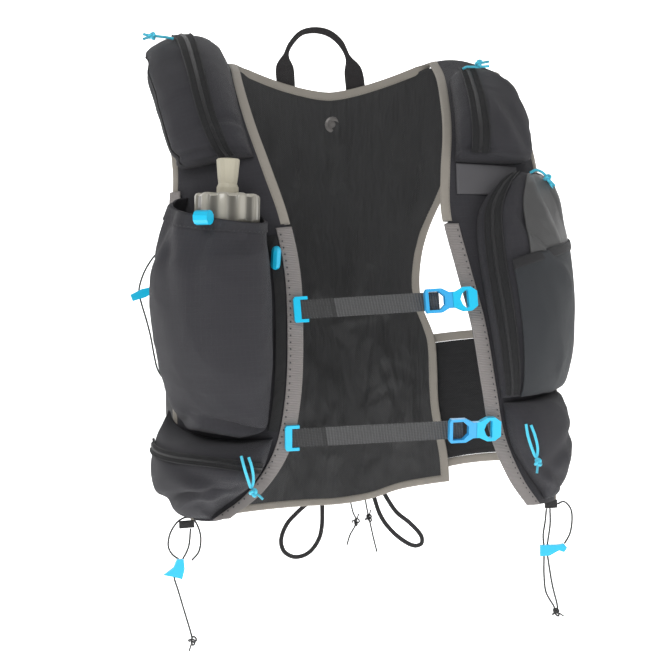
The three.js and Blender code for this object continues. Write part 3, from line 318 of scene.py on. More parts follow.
vest_drop = 0.430
half_width = 0.170
chest_reach = 0.120
shoulder_slope = 0.014
panel_wall = 0.0022
gap = 0.00035
binding_thickness = 0.0034
neck_binding_width = 0.009
strap_binding_width = 0.007
hem_binding_width = 0.008
tape_width = 0.0135
tape_start = 0.492
strap_columns = "at y z inner outer back drop"
right_strap = table(strap_columns, [
    (0.0, 0.835, -0.009, 0.508, 0.971, -0.38, 1.0),
    (0.062, 0.53, -0.02, 0.54, 0.982, -0.217, 1.0),
    (0.124, 0.258, -0.035, 0.562, 0.994, -0.067, 0.93),
    (0.186, 0.008, -0.06, 0.582, 1.0, 0.067, 0.86),
    (0.25, -0.242, -0.1, 0.59, 1.006, 0.15, 0.86),
    (0.317, -0.475, -0.163, 0.575, 1.006, 0.233, 1.0),
    (0.388, -0.65, -0.237, 0.535, 1.006, 0.333, 0.86),
    (0.474, -0.792, -0.342, 0.47, 1.03, 0.45, 0.43),
    (0.57, -0.9, -0.453, 0.435, 1.05, 0.55, 0.14),
    (0.665, -0.967, -0.57, 0.44, 1.06, 0.6, 0.0),
    (0.767, -1.0, -0.698, 0.467, 1.06, 0.617, 0.0),
    (0.853, -0.983, -0.802, 0.529, 1.06, 0.6, 0.0),
    (0.934, -0.933, -0.884, 0.665, 1.053, 0.5, 0.4),
    (1.0, -0.9, -0.935, 0.835, 1.012, 0.25, 0.43),
])
left_strap = table(strap_columns, [
    (0.0, 0.771, -0.009, 0.615, 0.971, -0.316, 1.0),
    (0.062, 0.5, -0.041, 0.595, 0.982, -0.167, 0.93),
    (0.124, 0.25, -0.07, 0.558, 0.99, -0.042, 0.86),
    (0.186, 0.0, -0.107, 0.515, 0.99, 0.083, 0.86),
    (0.25, -0.233, -0.149, 0.473, 0.995, 0.167, 0.86),
    (0.317, -0.433, -0.195, 0.429, 1.0, 0.25, 0.71),
    (0.388, -0.617, -0.26, 0.376, 1.015, 0.367, 0.57),
    (0.474, -0.775, -0.349, 0.341, 1.05, 0.483, 0.29),
    (0.57, -0.892, -0.458, 0.382, 1.07, 0.567, 0.0),
    (0.665, -0.967, -0.574, 0.441, 1.075, 0.617, 0.0),
    (0.767, -1.0, -0.698, 0.482, 1.07, 0.617, 0.0),
    (0.853, -0.983, -0.802, 0.529, 1.06, 0.6, 0.0),
    (0.934, -0.933, -0.895, 0.635, 1.035, 0.5, 0.3),
    (1.0, -0.883, -0.958, 0.747, 0.985, 0.25, 0.29),
])
right_strap["sign"], left_strap["sign"] = -1, 1
straps = {"right": right_strap, "left": left_strap}
wrap_power = 2.2
strap_crown = 0.008
crown_end = 0.4


def strap_base(strap, at, across):
    inner = half_width * read(strap, "inner", at)
    outer = half_width * read(strap, "outer", at)
    crown = strap_crown * np.maximum(0, 1 - at / crown_end) * np.sin(np.pi * np.clip(across, 0, 1))
    return np.stack(np.broadcast_arrays(
        strap["sign"] * (inner + (outer - inner) * across),
        chest_reach * (read(strap, "y", at) + read(strap, "back", at) * np.maximum(across, 0) ** wrap_power),
        vest_drop * read(strap, "z", at) - shoulder_slope * read(strap, "drop", at) * across + crown,
    ), axis=-1)


def unit(vectors):
    return vectors / np.linalg.norm(vectors, axis=-1, keepdims=True)


def strap_point(strap, at, across, lift):
    """Places on a strap: at runs down it, across runs from its inner edge, and lift stands off its face."""
    step = 0.004
    below, above = np.minimum(at + step, 1), np.maximum(at - step, 0)
    along = strap_base(strap, below, across) - strap_base(strap, above, across)
    side = strap_base(strap, at, across + step) - strap_base(strap, at, across - step)
    normal = unit(np.cross(along, side)) * strap["sign"]
    return strap_base(strap, at, across) + normal * np.asarray(lift)[..., None]


def from_inner(strap, at, distance):
    return distance / (half_width * (read(strap, "outer", at) - read(strap, "inner", at)))


def from_outer(strap, at, distance):
    breadth = half_width * (read(strap, "outer", at) - read(strap, "inner", at))
    depth = chest_reach * wrap_power * np.abs(read(strap, "back", at))
    return 1 - distance / np.hypot(breadth, depth)


def mesh_piece(name, points, faces, uv, material, body="vest", stands_for=(), flat_from=None):
    """A mesh with a map in metres. Faces from flat_from on are the cut edges and stay flat."""
    mesh = bpy.data.meshes.new(name)
    mesh.from_pydata(np.asarray(points).tolist(), [], faces)
    layer = mesh.uv_layers.new(name="map")
    corners = np.zeros(len(mesh.loops), int)
    mesh.loops.foreach_get("vertex_index", corners)
    layer.data.foreach_set("uv", np.asarray(uv)[corners].ravel())
    smooth = np.ones(len(faces), bool)
    if flat_from is not None:
        smooth[flat_from:] = False
    mesh.polygons.foreach_set("use_smooth", smooth)
    return finish_piece(bpy.data.objects.new(name, mesh), material, body, stands_for)


def lengths(points, axis):
    """Distances along one axis of a grid of points."""
    steps = np.linalg.norm(np.diff(points, axis=axis), axis=-1)
    total = np.cumsum(steps, axis=axis)
    return np.concatenate([np.zeros_like(np.take(total, [0], axis)), total], axis)


def wall(name, outer, inner, material, **more):
    """A closed wall between two grids of points, mapped in metres along its outer face."""
    rows, columns = outer.shape[:2]
    along = lengths(outer, 0).mean(1, keepdims=True) + 0 * outer[..., 0]
    across = lengths(outer, 1)
    across = across - across.mean(1, keepdims=True)
    uv = np.stack([across, along], -1).reshape(-1, 2)
    index = np.arange(rows * columns).reshape(rows, columns)
    a, b, c, d = index[:-1, :-1], index[1:, :-1], index[1:, 1:], index[:-1, 1:]
    front = np.stack([a, b, c, d], -1).reshape(-1, 4)
    shift = rows * columns
    ring = np.concatenate([index[:-1, 0], index[-1, :-1], index[:0:-1, -1], index[0, :0:-1]])
    after = np.roll(ring, -1)
    rim = np.stack([after, ring, ring + shift, after + shift], -1)
    faces = np.concatenate([front, front[:, ::-1] + shift, rim])
    points = np.concatenate([outer.reshape(-1, 3), inner.reshape(-1, 3)])
    normal = np.cross(points[faces[0, 1]] - points[faces[0, 0]], points[faces[0, 3]] - points[faces[0, 0]])
    if normal @ (outer[0, 0] - inner[0, 0]) < 0:
        faces = faces[:, ::-1]
    return mesh_piece(name, points, faces.tolist(), np.concatenate([uv, uv]), material,
                      flat_from=2 * len(front), **more)


def noise(x, y, size, seed):
    """Soft random height from -1 to 1 that changes over a size, the same on each run."""
    grid = np.random.default_rng(seed).uniform(-1, 1, (64, 64))
    x, y = np.asarray(x) / size, np.asarray(y) / size
    i, j = np.floor(x).astype(int), np.floor(y).astype(int)
    u, v = x - i, y - j
    u, v = u * u * u * (u * (6 * u - 15) + 10), v * v * v * (v * (6 * v - 15) + 10)
    value = lambda di, dj: grid[(i + di) % 64, (j + dj) % 64]
    near = value(0, 0) * (1 - v) + value(0, 1) * v
    far = value(1, 0) * (1 - v) + value(1, 1) * v
    return near * (1 - u) + far * u


def rumple(x, y, size, seed):
    """Soft creases of cloth: bent ridges on a few scales."""
    bent_x = x + 0.5 * size * noise(x, y, 1.7 * size, seed)
    bent_y = y + 0.5 * size * noise(x, y, 1.5 * size, seed + 1)
    ridge = 1 - 2 * np.abs(noise(bent_x, 0.55 * bent_y, size, seed + 2))
    return 0.6 * ridge + 0.6 * noise(bent_x, bent_y, 0.6 * size, seed + 3)


def woven(name, colour, pitch, relief, roughness=0.8, grid=0.0, variation=0.08, sheen=0.06,
          crinkle=0.0):
    """Woven cloth: over-and-under threads at a pitch, with thicker ripstop threads at a grid's spacing."""
    material, tree, shader, across, along = new_material(name, roughness, sheen_weight=sheen,
                                                         sheen_roughness=0.4)
    one, two = wave(tree, across, pitch), wave(tree, along, pitch)
    height = calc(tree, "MULTIPLY", one, two)
    # The threads' tops are painted a little lighter and the dips between them darker: painted highlight and
    # painted shade.
    shade = calc(tree, "MULTIPLY_ADD", height, 0.05, 1.0)
    if grid:
        lines = [calc(tree, "GREATER_THAN", wave(tree, axis, grid), 0.93) for axis in (across, along)]
        thick = calc(tree, "MAXIMUM", *lines)
        height = calc(tree, "ADD", height, thick)
        # The raised ripstop threads are painted lighter: painted highlight.
        shade = calc(tree, "MULTIPLY_ADD", thick, 0.09, shade)
    patches = tinted(tree, shader, colour, variation, 0.03, shade)
    where = node(tree, "TexCoord").outputs["Object"]
    crease_size = 0.013
    creases = node(tree, "TexNoise", {"Vector": where, "Scale": 1 / crease_size, "Detail": 3.0}).outputs[0]
    height = calc(tree, "MULTIPLY_ADD", creases, crinkle, height)
    raised(tree, shader, calc(tree, "MULTIPLY_ADD", patches, 2.0, height), relief)
    return material


ripstop = woven("charcoal_ripstop_nylon_matte", 0x2E2D32, 0.0006, 0.00012, grid=0.0045,
                crinkle=5.0)
seam_gap = 0.006
binding_end = tape_start - 0.006
tuck = 0.003
for side, strap in straps.items():
    at = np.concatenate([np.linspace(seam_gap, binding_end, 60), np.linspace(tape_start, 1, 60)])[:, None]
    edge = np.where(at < tape_start, neck_binding_width - tuck, 0.001)
    first, last = from_inner(strap, at, edge), from_outer(strap, at, strap_binding_width - tuck)
    across = first + (last - first) * np.linspace(0, 1, 26)[None, :]
    flat = strap_point(strap, at, across, 0 * across)
    dent = 0.0006 * rumple(flat[..., 0], flat[..., 2], 0.035, 11)
    dent *= np.clip(8 * np.minimum(across - first, last - across), 0, 1)
    wall(f"{side}_front_cloth", strap_point(strap, at, across, np.minimum(dent, gap)),
         strap_point(strap, at, across, -panel_wall + 0 * across), ripstop,
         stands_for=[f"{side}_front_panel"])


# Bound edges. Grey nylon tape folded over the cut edge and sewn through: a fine rib across it, a rounded fold
# and one row of stitches near its inner side.
def band(name, place, shares, width, thickness, material, body="vest", stands_for=(), sides=16, square=3.0):
    """A strip with a rounded section. place(share, distance, lift) gives its points; width may vary."""
    turn = np.linspace(0, 2 * np.pi, sides, endpoint=False)
    c, s = np.cos(turn), np.sin(turn)
    distance = 0.5 + 0.5 * np.sign(c) * np.abs(c) ** (2 / square)
    lift = 0.5 * np.sign(s) * np.abs(s) ** (2 / square)
    shares = np.asarray(shares)[:, None]
    width = width(shares) if callable(width) else width
    points = place(shares, width * distance[None, :], thickness * lift[None, :] + 0 * shares)
    along = lengths(points.mean(1), 0)
    around = np.concatenate([[0],
                             np.cumsum(np.hypot(np.diff(distance) * np.mean(width),
                                                np.diff(lift) * thickness))])
    uv = np.stack(np.broadcast_arrays(around[None, :], along[:, None]), -1).reshape(-1, 2)
    rows = len(shares)
    index = np.arange(rows * sides).reshape(rows, sides)
    after = np.roll(index, -1, axis=1)
    faces = np.stack([index[:-1], after[:-1], after[1:], index[1:]], -1).reshape(-1, 4).tolist()
    caps = len(faces)
    faces += [index[0, ::-1].tolist(), index[-1].tolist()]
    p = points.reshape(-1, 3)
    centre = points.mean(1)
    normal = np.cross(p[faces[0][1]] - p[faces[0][0]], p[faces[0][3]] - p[faces[0][0]])
    if normal @ (p[0] - centre[0]) < 0:
        faces = [face[::-1] for face in faces]
    return mesh_piece(name, p, faces, uv, material, body, stands_for, flat_from=caps)


def stitches(name, line, normal, spacing, length, thickness, material, body="vest"):
    """A row of thread stitches along a line of points, lying on the surface with those normals."""
    travelled = lengths(line[:, None], 0)[:, 0]
    starts = np.arange(spacing / 2, travelled[-1] - length, spacing)
    pick = lambda distance: np.stack([np.interp(distance, travelled, line[:, k]) for k in range(3)], -1)
    up = np.stack([np.interp(starts, travelled, normal[:, k]) for k in range(3)], -1)
    a, b = pick(starts), pick(starts + length)
    middle = (a + b) / 2 + up * thickness * 0.45
    side = unit(np.cross(b - a, up)) * thickness / 2
    a, b = a - up * thickness * 0.2, b - up * thickness * 0.2
    points, faces = [], []
    for k in range(len(starts)):
        n = len(points)
        points += [a[k], b[k], middle[k] + side[k], middle[k] - side[k], middle[k] - up[k] * thickness]
        faces += [(n, n + 2, n + 3), (n + 1, n + 3, n + 2), (n, n + 3, n + 4), (n, n + 4, n + 2),
                  (n + 1, n + 4, n + 3), (n + 1, n + 2, n + 4)]
    uv = np.zeros((len(points), 2))
    return mesh_piece(name, points, faces, uv, material, body)


def ribbed(name, colour, pitch, relief, roughness=0.75, sheen=0.08, variation=0.06, cross=0.0):
    """Woven tape: ribs across its length at a pitch, with a finer thread the other way."""
    material, tree, shader, across, along = new_material(name, roughness, sheen_weight=sheen)
    rib = wave(tree, along, pitch)
    height = rib if not cross else calc(tree, "MULTIPLY_ADD", wave(tree, across, cross), 0.6, rib)
    # The ribs' crests are painted a little lighter and the grooves between them darker: painted highlight and
    # painted shade.
    tinted(tree, shader, colour, variation, 0.01, calc(tree, "MULTIPLY_ADD", height, 0.06, 1.0))
    raised(tree, shader, height, relief)
    return material


def thread(name, colour):
    """Sewing thread: twisted polyester with a slight shine."""
    material, tree, shader, _, _ = new_material(name, 0.5, sheen_weight=0.3)
    tinted(tree, shader, colour, 0.15, 0.002)
    return material


grey_binding = ribbed("grey_nylon_binding_tape_satin", 0x979188, 0.0011, 0.00016)
stitch_spacing, stitch_length, thread_thickness = 0.0034, 0.0022, 0.0005
grey_thread = thread("grey_polyester_thread", 0x7A776F)
dark_thread = thread("charcoal_polyester_thread", 0x1E1D20)


def normals_along(place, shares, distance, lift):
    """Places and face normals along a band."""
    low, high = (place(shares[:, None], np.array([[distance]]), lift + z + 0 * shares[:, None])[:, 0]
                 for z in (0.0, 0.001))
    return low, unit(high - low)


for side, strap in straps.items():
    place = lambda at, distance, lift, strap=strap: strap_point(
        strap, at, from_outer(strap, at, distance), lift - panel_wall / 2)
    shares = np.linspace(seam_gap, 1, 150)
    band(f"{side}_strap_edge", place, shares, strap_binding_width, binding_thickness, grey_binding,
         stands_for=[f"{side}_strap_binding"])
    line, up = normals_along(place, np.linspace(0.02, 0.99, 200), 0.8 * strap_binding_width,
                             binding_thickness / 2)
    stitches(f"{side}_strap_edge_stitches", line, up, stitch_spacing, stitch_length, thread_thickness,
             grey_thread)

# The neck's edge. One length of the same tape, folded and sewn on, runs up the right strap, round the back of
# the neck and down the left strap.
back_reach = 0.118
back_curve = 0.026
back_curve_span = 0.105
neck_half_width = 0.095
neck_shift = 0.009
neck_dip = 0.027
neck_height = -0.004
neck_power = 1.5
neck_back_span = 0.93


def back_point(x, z, lift):
    """Places on the back's curved face; lift stands off away from the wearer."""
    y = back_reach - back_curve * (x / back_curve_span) ** 2
    normal = np.stack(np.broadcast_arrays(2 * back_curve * x / back_curve_span**2, 1.0, 0.0 * x), -1)
    return np.stack(np.broadcast_arrays(x, y, z), -1) + unit(normal) * np.asarray(lift)[..., None]


def neck_line(x):
    out = np.abs(x - neck_shift) / neck_half_width
    beyond = (np.abs(x - neck_shift) - neck_half_width) / (half_width - neck_half_width)
    return neck_height - np.where(out < 1, neck_dip * (1 - np.minimum(out, 1) ** neck_power),
                                  shoulder_slope * beyond)


def neck_edge(share, distance, lift):
    """The neck binding: share runs from the right tape's top, round the neck, to the left tape's top."""
    strap_share = 0.4
    lift = lift - panel_wall / 2
    down = binding_end - (binding_end - seam_gap) * np.clip(share / strap_share, 0, 1)
    up = seam_gap + (binding_end - seam_gap) * np.clip((share - 1 + strap_share) / strap_share, 0, 1)
    right = strap_point(right_strap, down, from_inner(right_strap, down, distance), lift)
    left = strap_point(left_strap, up, from_inner(left_strap, up, distance), lift)
    across = np.clip((share - strap_share) / (1 - 2 * strap_share), 0, 1) * 2 - 1
    x = neck_shift + neck_back_span * neck_half_width * across + 0 * distance
    middle = back_point(x, neck_line(x) - distance, lift)
    share = (share + 0 * distance)[..., None]
    return np.where(share < strap_share, right, np.where(share > 1 - strap_share, left, middle))


neck_shares = np.concatenate([np.linspace(0, 0.3999, 120), np.linspace(0.405, 0.595, 60),
                              np.linspace(0.6001, 1, 120)])
band("neck_edge", neck_edge, neck_shares, neck_binding_width, binding_thickness, grey_binding,
     stands_for=["neck_binding"])
for part, (low, high) in {"right": (0.01, 0.39), "back": (0.41, 0.59), "left": (0.61, 0.99)}.items():
    for face in (1, -1):
        line, up = normals_along(neck_edge, np.linspace(low, high, 200), 0.82 * neck_binding_width,
                                 face * binding_thickness / 2)
        stitches(f"neck_edge_stitches_{part}_{'out' if face > 0 else 'in'}", line, up * face,
                 stitch_spacing, stitch_length, thread_thickness, grey_thread)


# Daisy-chain tapes down the inner edges. Grey elastic tape sewn on at close steps: a flat satin rib
# with a line of dark bar tacks along its outer side.
tape_thickness = 0.0014
tape_lift = 0.00075
tape_ribs = ribbed("grey_daisy_chain_tape_ribbed", 0x86817F, 0.0015, 0.0002)
for side, strap in straps.items():
    place = lambda at, distance, lift, strap=strap: strap_point(
        strap, at, from_inner(strap, at, distance), lift + tape_lift + tape_thickness / 2)
    band(f"{side}_daisy", place, np.linspace(tape_start, 1, 110), tape_width, tape_thickness, tape_ribs,
         stands_for=[f"{side}_daisy_tape"], square=6.0)
    for share, spacing, long, thick, sewn in ((0.8, 0.0058, 0.0026, 0.0014, dark_thread),
                                              (0.12, stitch_spacing, stitch_length, thread_thickness,
                                               grey_thread)):
        line, up = normals_along(place, np.linspace(tape_start + 0.004, 0.996, 200), share * tape_width,
                                 tape_thickness / 2)
        stitches(f"{side}_daisy_stitches_{'outer' if share > 0.5 else 'inner'}", line, up, spacing, long,
                 thick, sewn)


# Back panel. Soft spacer mesh towards the wearer, hung between the neck, the sides and the hem: near-black,
# with fine holes and long soft folds where it is slack.
back_rows = table("at half", [
    (0.0, 0.995), (0.05, 0.965), (0.144, 0.88), (0.233, 0.77), (0.328, 0.672), (0.362, 0.632), (0.408, 0.588),
    (0.455, 0.558), (0.515, 0.542), (0.573, 0.553), (0.627, 0.6), (0.656, 0.62), (0.72, 0.628), (0.798, 0.63),
    (0.86, 0.648), (0.942, 0.676), (1.06, 0.68)])
hem_rows = table("at z", [(-0.72, 1.03), (-0.53, 1.034), (-0.2, 1.04), (0.04, 1.043), (0.23, 1.034),
                          (0.4, 1.013), (0.57, 1.0), (0.72, 0.99)])
seam_clearance = 0.009


def hem_line(x):
    return -vest_drop * read(hem_rows, "z", x / half_width)


def back_plan(down, across, side_inset, top_inset, hem_inset):
    """The back's outline at shares down and across, drawn in from its edges."""
    x, z = 0 * (down + across), neck_height + 0 * (down + across)
    for _ in range(12):
        x = across * (half_width * read(back_rows, "half", -z / vest_drop) - side_inset)
        top = neck_line(x) - top_inset
        z = top + (hem_line(x) + hem_inset - top) * down
    return x, z


def meshed(name, colour, pitch, roughness=0.9, sheen=0.05, crinkle=0.0):
    """Knitted mesh: rows of small round holes between soft yarns."""
    material, tree, shader, across, along = new_material(name, roughness, sheen_weight=sheen,
                                                         sheen_roughness=0.5)
    holes = calc(tree, "MULTIPLY", wave(tree, across, pitch), wave(tree, along, pitch, 0.5))
    open_part = calc(tree, "MAXIMUM", holes, 0.0)
    # The holes are painted darker: painted shade inside them.
    tinted(tree, shader, colour, 0.1, 0.05, calc(tree, "MULTIPLY_ADD", open_part, -0.35, 1.0))
    crease_width, crease_length = 0.007, 0.024
    slack_across = calc(tree, "MULTIPLY", across, 1 / crease_width)
    slack_along = calc(tree, "MULTIPLY", along, 1 / crease_length)
    stretched = node(tree, "CombineXYZ", {0: slack_across, 1: slack_along}).outputs[0]
    creases = node(tree, "TexNoise", {"Vector": stretched, "Scale": 1.0, "Detail": 3.0}).outputs[0]
    height = calc(tree, "MULTIPLY_ADD", creases, crinkle, calc(tree, "MULTIPLY", open_part, -1.0))
    raised(tree, shader, height, 0.0004)
    return material


lining = meshed("black_spacer_mesh_matte", 0x232324, 0.0019, roughness=0.55, sheen=0.12, crinkle=9.0)
wing_mesh = meshed("black_side_mesh_matte", 0x18181A, 0.0019, roughness=0.8, crinkle=4.0)
down, across = np.linspace(0, 1, 150)[:, None], np.linspace(-1, 1, 110)[None, :]
plan_x, plan_z = back_plan(down, across, hem_binding_width - tuck, seam_clearance - tuck,
                           hem_binding_width - tuck)
slack = np.clip(6 * np.minimum(down, 1 - down), 0, 1) * np.clip(5 * (1 - np.abs(across)), 0, 1)
folds = 0.006 * rumple(plan_x, 0.45 * plan_z, 0.05, 23) + 0.0018 * rumple(plan_x, plan_z, 0.021, 29) - 0.002
folds += 0.003 * rumple(plan_x, 0.4 * plan_z, 0.017, 31)
# Three long folds hang where the back is slack.
folds -= 0.004 * np.exp(-((plan_x - 0.03 + 0.18 * (plan_z + 0.16)) / 0.012) ** 2)
folds -= 0.003 * np.exp(-((plan_x + 0.035 - 0.12 * (plan_z + 0.16)) / 0.015) ** 2)
folds -= 0.0026 * np.exp(-((plan_z + 0.265 - 0.3 * plan_x) / 0.008) ** 2)
inner_face = back_point(plan_x, plan_z, -panel_wall + np.minimum(slack * folds, 0.0006))
wall("back_lining", inner_face, back_point(plan_x, plan_z, 0 * plan_x), lining, stands_for=["back_panel"])


def hem_edge(share, distance, lift):
    """The hem binding: down the right side, along the hem and up the left side."""
    down = np.where(share < 1 / 3, 3 * share, np.where(share > 2 / 3, 3 - 3 * share, 1.0))
    across = np.clip(6 * share - 3, -1, 1)
    x, z = back_plan(down + 0 * distance, across + 0 * distance, distance, seam_clearance, distance)
    return back_point(x, z, lift - panel_wall / 2)


hem_shares = np.concatenate([np.linspace(0, 0.3333, 90), np.linspace(0.34, 0.66, 60),
                             np.linspace(0.6667, 1, 90)])
band("hem_edge", hem_edge, hem_shares, hem_binding_width, binding_thickness, grey_binding,
     stands_for=["back_hem_binding"])
line, up = normals_along(hem_edge, np.linspace(0.01, 0.99, 500), 0.82 * hem_binding_width,
                         -binding_thickness / 2)
stitches("hem_edge_stitches", line, -up, stitch_spacing, stitch_length, thread_thickness, grey_thread)


# Side wings. The same mesh in one layer, bound top and bottom, that bends round the ribs from back to front.
wing_wall = 0.0018
wing_top, wing_bottom = (-0.277, -0.262), (-0.414, -0.392)
wing_lap = 0.007
wing_bulge = ((0.150, 0.092), (0.197, 0.045))
wing_edge_width = 0.0085
wing_reach, wing_height = 0.165, 0.137


def at_height(strap, z):
    """The share down a strap at which its outer edge has a height."""
    low, high = np.full(np.shape(z), 0.3), np.ones(np.shape(z))
    for _ in range(30):
        middle = (low + high) / 2
        above = strap_base(strap, middle, 1.0)[..., 2] > z
        low, high = np.where(above, middle, low), np.where(above, high, middle)
    return (low + high) / 2


def wing_point(strap, u, v, lift):
    u, v = np.broadcast_arrays(u, v)
    top = wing_top[0] + (wing_top[1] - wing_top[0]) * u
    z = top + (wing_bottom[0] + (wing_bottom[1] - wing_bottom[0]) * u - top) * v
    half = half_width * read(back_rows, "half", -z / vest_drop) - wing_lap
    start = back_point(strap["sign"] * half, z, gap + wing_wall + binding_thickness / 2)
    at = at_height(strap, z)
    under = (panel_wall + binding_thickness) / 2 + 2 * gap
    end = strap_point(strap, at, from_outer(strap, at, wing_lap), -under + 0 * z)
    one, two = (np.stack([strap["sign"] * x + 0 * z, y + 0 * z, z], -1) for x, y in wing_bulge)
    t = u[..., None]
    point = (1 - t) ** 3 * start + 3 * t * (1 - t) ** 2 * one + 3 * t**2 * (1 - t) * two + t**3 * end
    along = 3 * ((1 - t) ** 2 * (one - start) + 2 * t * (1 - t) * (two - one) + t**2 * (end - two))
    normal = unit(np.stack([-along[..., 1], along[..., 0], 0 * z], -1))
    return point + strap["sign"] * normal * np.asarray(lift)[..., None]


for side, strap in straps.items():
    u, v = np.linspace(0.025, 0.975, 60)[:, None], np.linspace(0.065, 0.935, 44)[None, :]
    dent = 0.0007 * rumple(wing_reach * u + 0 * v, wing_height * v + 0 * u, 0.04, 41)
    wall(f"{side}_side_wing", wing_point(strap, u, v, dent), wing_point(strap, u, v, dent - wing_wall),
         wing_mesh,
         stands_for=[f"{side}_wing"])
    for edge, (base, sign) in {"top": (0.0, 1), "bottom": (1.0, -1)}.items():
        place = lambda at, distance, lift, strap=strap, base=base, sign=sign: wing_point(
            strap, at, base + sign * distance / wing_height, lift - wing_wall / 2)
        band(f"{side}_wing_{edge}_edge", place, np.linspace(0.002, 0.998, 60), wing_edge_width, 0.0026,
             grey_binding,
             stands_for=[f"{side}_wing_binding"] if edge == "top" else ())


# Pockets. Thin ripstop pouches sewn down all round and filled out: crowned, dented near their seams, with
# top-stitched seams and a taped zip in a band of dark mesh.
seat = gap + (binding_thickness - panel_wall) / 2
pocket_wall = 0.0014
seam_depth, seam_width, seam_stitch_offset = 0.0013, 0.0016, 0.0028


def bulge(cosine, power):
    return (1 - np.minimum(np.abs(cosine), 1) ** power) ** (1 / power)


def pouch_base(pouch, u, v, inset=0.0):
    """Places on a pouch: u runs down it and v across it, close together towards its rim."""
    u, v = np.broadcast_arrays(u, v)
    trim = inset / pouch["length"]
    mouth = pouch.get("mouth")
    end = np.cos((1 + u) * np.pi / 2 if mouth else u * np.pi)
    side = np.cos(v * np.pi)
    down = -end * (1 - trim) if mouth else trim + (1 - 2 * trim) * (1 - end) / 2
    side_rise = bulge(side, pouch["side_round"])
    first = read(pouch["rows"], "first", down) + inset / pouch["breadth"]
    last = read(pouch["rows"], "last", down) - inset / pouch["breadth"]
    across = first + (last - first) * (1 - side) / 2
    rise = (pouch["depth"] - inset) * read(pouch["rows"], "rise", down)
    rise = rise * bulge(end, pouch["end_round"]) * side_rise
    dip = 0.0
    if mouth:
        sag = mouth["dip"] * side_rise * (1.25 - v) + mouth["tilt"] * (0.5 - v)
        dip = np.maximum(0, 1 - down / mouth["reach"]) * sag
    high, low = pouch.get("skew", (0, 0))
    top_corner, bottom_corner = pouch.get("corners", (0, 0))
    lifted = (top_corner * (1 - down) ** 3 + bottom_corner * down**3) * np.maximum(0, 1 - v / 0.45) ** 1.5
    skew = (high + (low - high) * down) * 2 * np.maximum(0, v - 0.5) ** 2 + lifted
    at = pouch["start"] + (pouch["end"] - pouch["start"]) * down + dip - skew
    place = pouch["face"](at, across, seat + rise)
    lean = np.array([*pouch.get("lean", (0, 0)), 0.0])
    return place + lean * (rise / pouch["depth"])[..., None]


def pouch_point(pouch, u, v, lift):
    step = 0.01
    u, v = np.broadcast_arrays(u, v)
    a, b = np.clip(u, step, 1 - step), np.clip(v, step, 1 - step)
    along = pouch_base(pouch, a + step, b) - pouch_base(pouch, a - step, b)
    side = pouch_base(pouch, a, b + step) - pouch_base(pouch, a, b - step)
    normal = unit(np.cross(along, side)) * pouch["turn"]
    return pouch_base(pouch, u, v) + normal * (np.asarray(lift) + 0 * u)[..., None]


def creased(pouch, u, v):
    """Dents and folds in metres: soft random ones, the pouch's own, and a tuck along each seam."""
    x, y = v * pouch["breadth"], u * pouch["length"]
    height = pouch.get("slack", 0.0012) * rumple(x + 0 * y, y + 0 * x, 0.034, pouch["seed"])
    height = height + 0.0006 * rumple(x + 0 * y, y + 0 * x, 0.014, pouch["seed"] + 5)
    for at_u, at_v, turn, long, wide, depth in pouch.get("folds", ()):
        c, s = np.cos(np.radians(turn)), np.sin(np.radians(turn))
        dx, dy = x - at_v * pouch["breadth"], y - at_u * pouch["length"]
        run, off = (c * dx + s * dy) / long, (c * dy - s * dx) / wide
        height = height - depth * np.exp(-run**2 - off**2) + 0.6 * depth * np.exp(-run**2 - (off - 1.6) ** 2)
    for seam in pouch.get("seams", ()):
        height = height - seam_depth * np.exp(-(((v - seam) * pouch["breadth"]) / seam_width) ** 2)
    fade = np.clip(10 * np.minimum(u if not pouch.get("mouth") else u + 0.06, 1 - u), 0, 1)
    return height * fade * np.clip(9 * np.minimum(v, 1 - v), 0, 1)


def pouch_piece(name, pouch, material, rows=110, columns=90):
    u, v = np.linspace(0, 1, rows)[:, None], np.linspace(0, 1, columns)[None, :]
    outer = pouch_point(pouch, u, v, creased(pouch, u, v))
    inner = pouch_base(pouch, u, v, pocket_wall) + np.minimum(0, creased(pouch, u, v))[..., None] * unit(
        outer - pouch_base(pouch, 0.5, 0.5, 0.6 * pouch["depth"]))
    wall(name + "_cloth", outer, inner, material, stands_for=[name])
    for k, seam in enumerate(pouch.get("seams", ())):
        def ridge(share, distance, lift, seam=seam):
            u, v = np.broadcast_arrays(0.06 + 0.89 * share,
                                       seam + 0.0018 * (distance - 0.5) / pouch["breadth"])
            return pouch_point(pouch, u, v, creased(pouch, u, v) + lift + 0.0006)
        band(f"{name}_seam_{k}_piping", ridge, np.linspace(0, 1, 160), 1.0, 0.0014, dark_piping, sides=10,
             square=2.0)
        for side in (-1, 1):
            place = seam + side * seam_stitch_offset / pouch["breadth"]
            run = np.linspace(0.06, 0.95, 240)
            lift = creased(pouch, run, place + 0 * run)
            line = pouch_point(pouch, run, place + 0 * run, lift)
            up = unit(pouch_point(pouch, run, place + 0 * run, lift + 0.001) - line)
            stitches(f"{name}_seam_{k}_{'inner' if side < 0 else 'outer'}", line, up, 0.0033, 0.0021, 0.00045,
                     dark_thread)


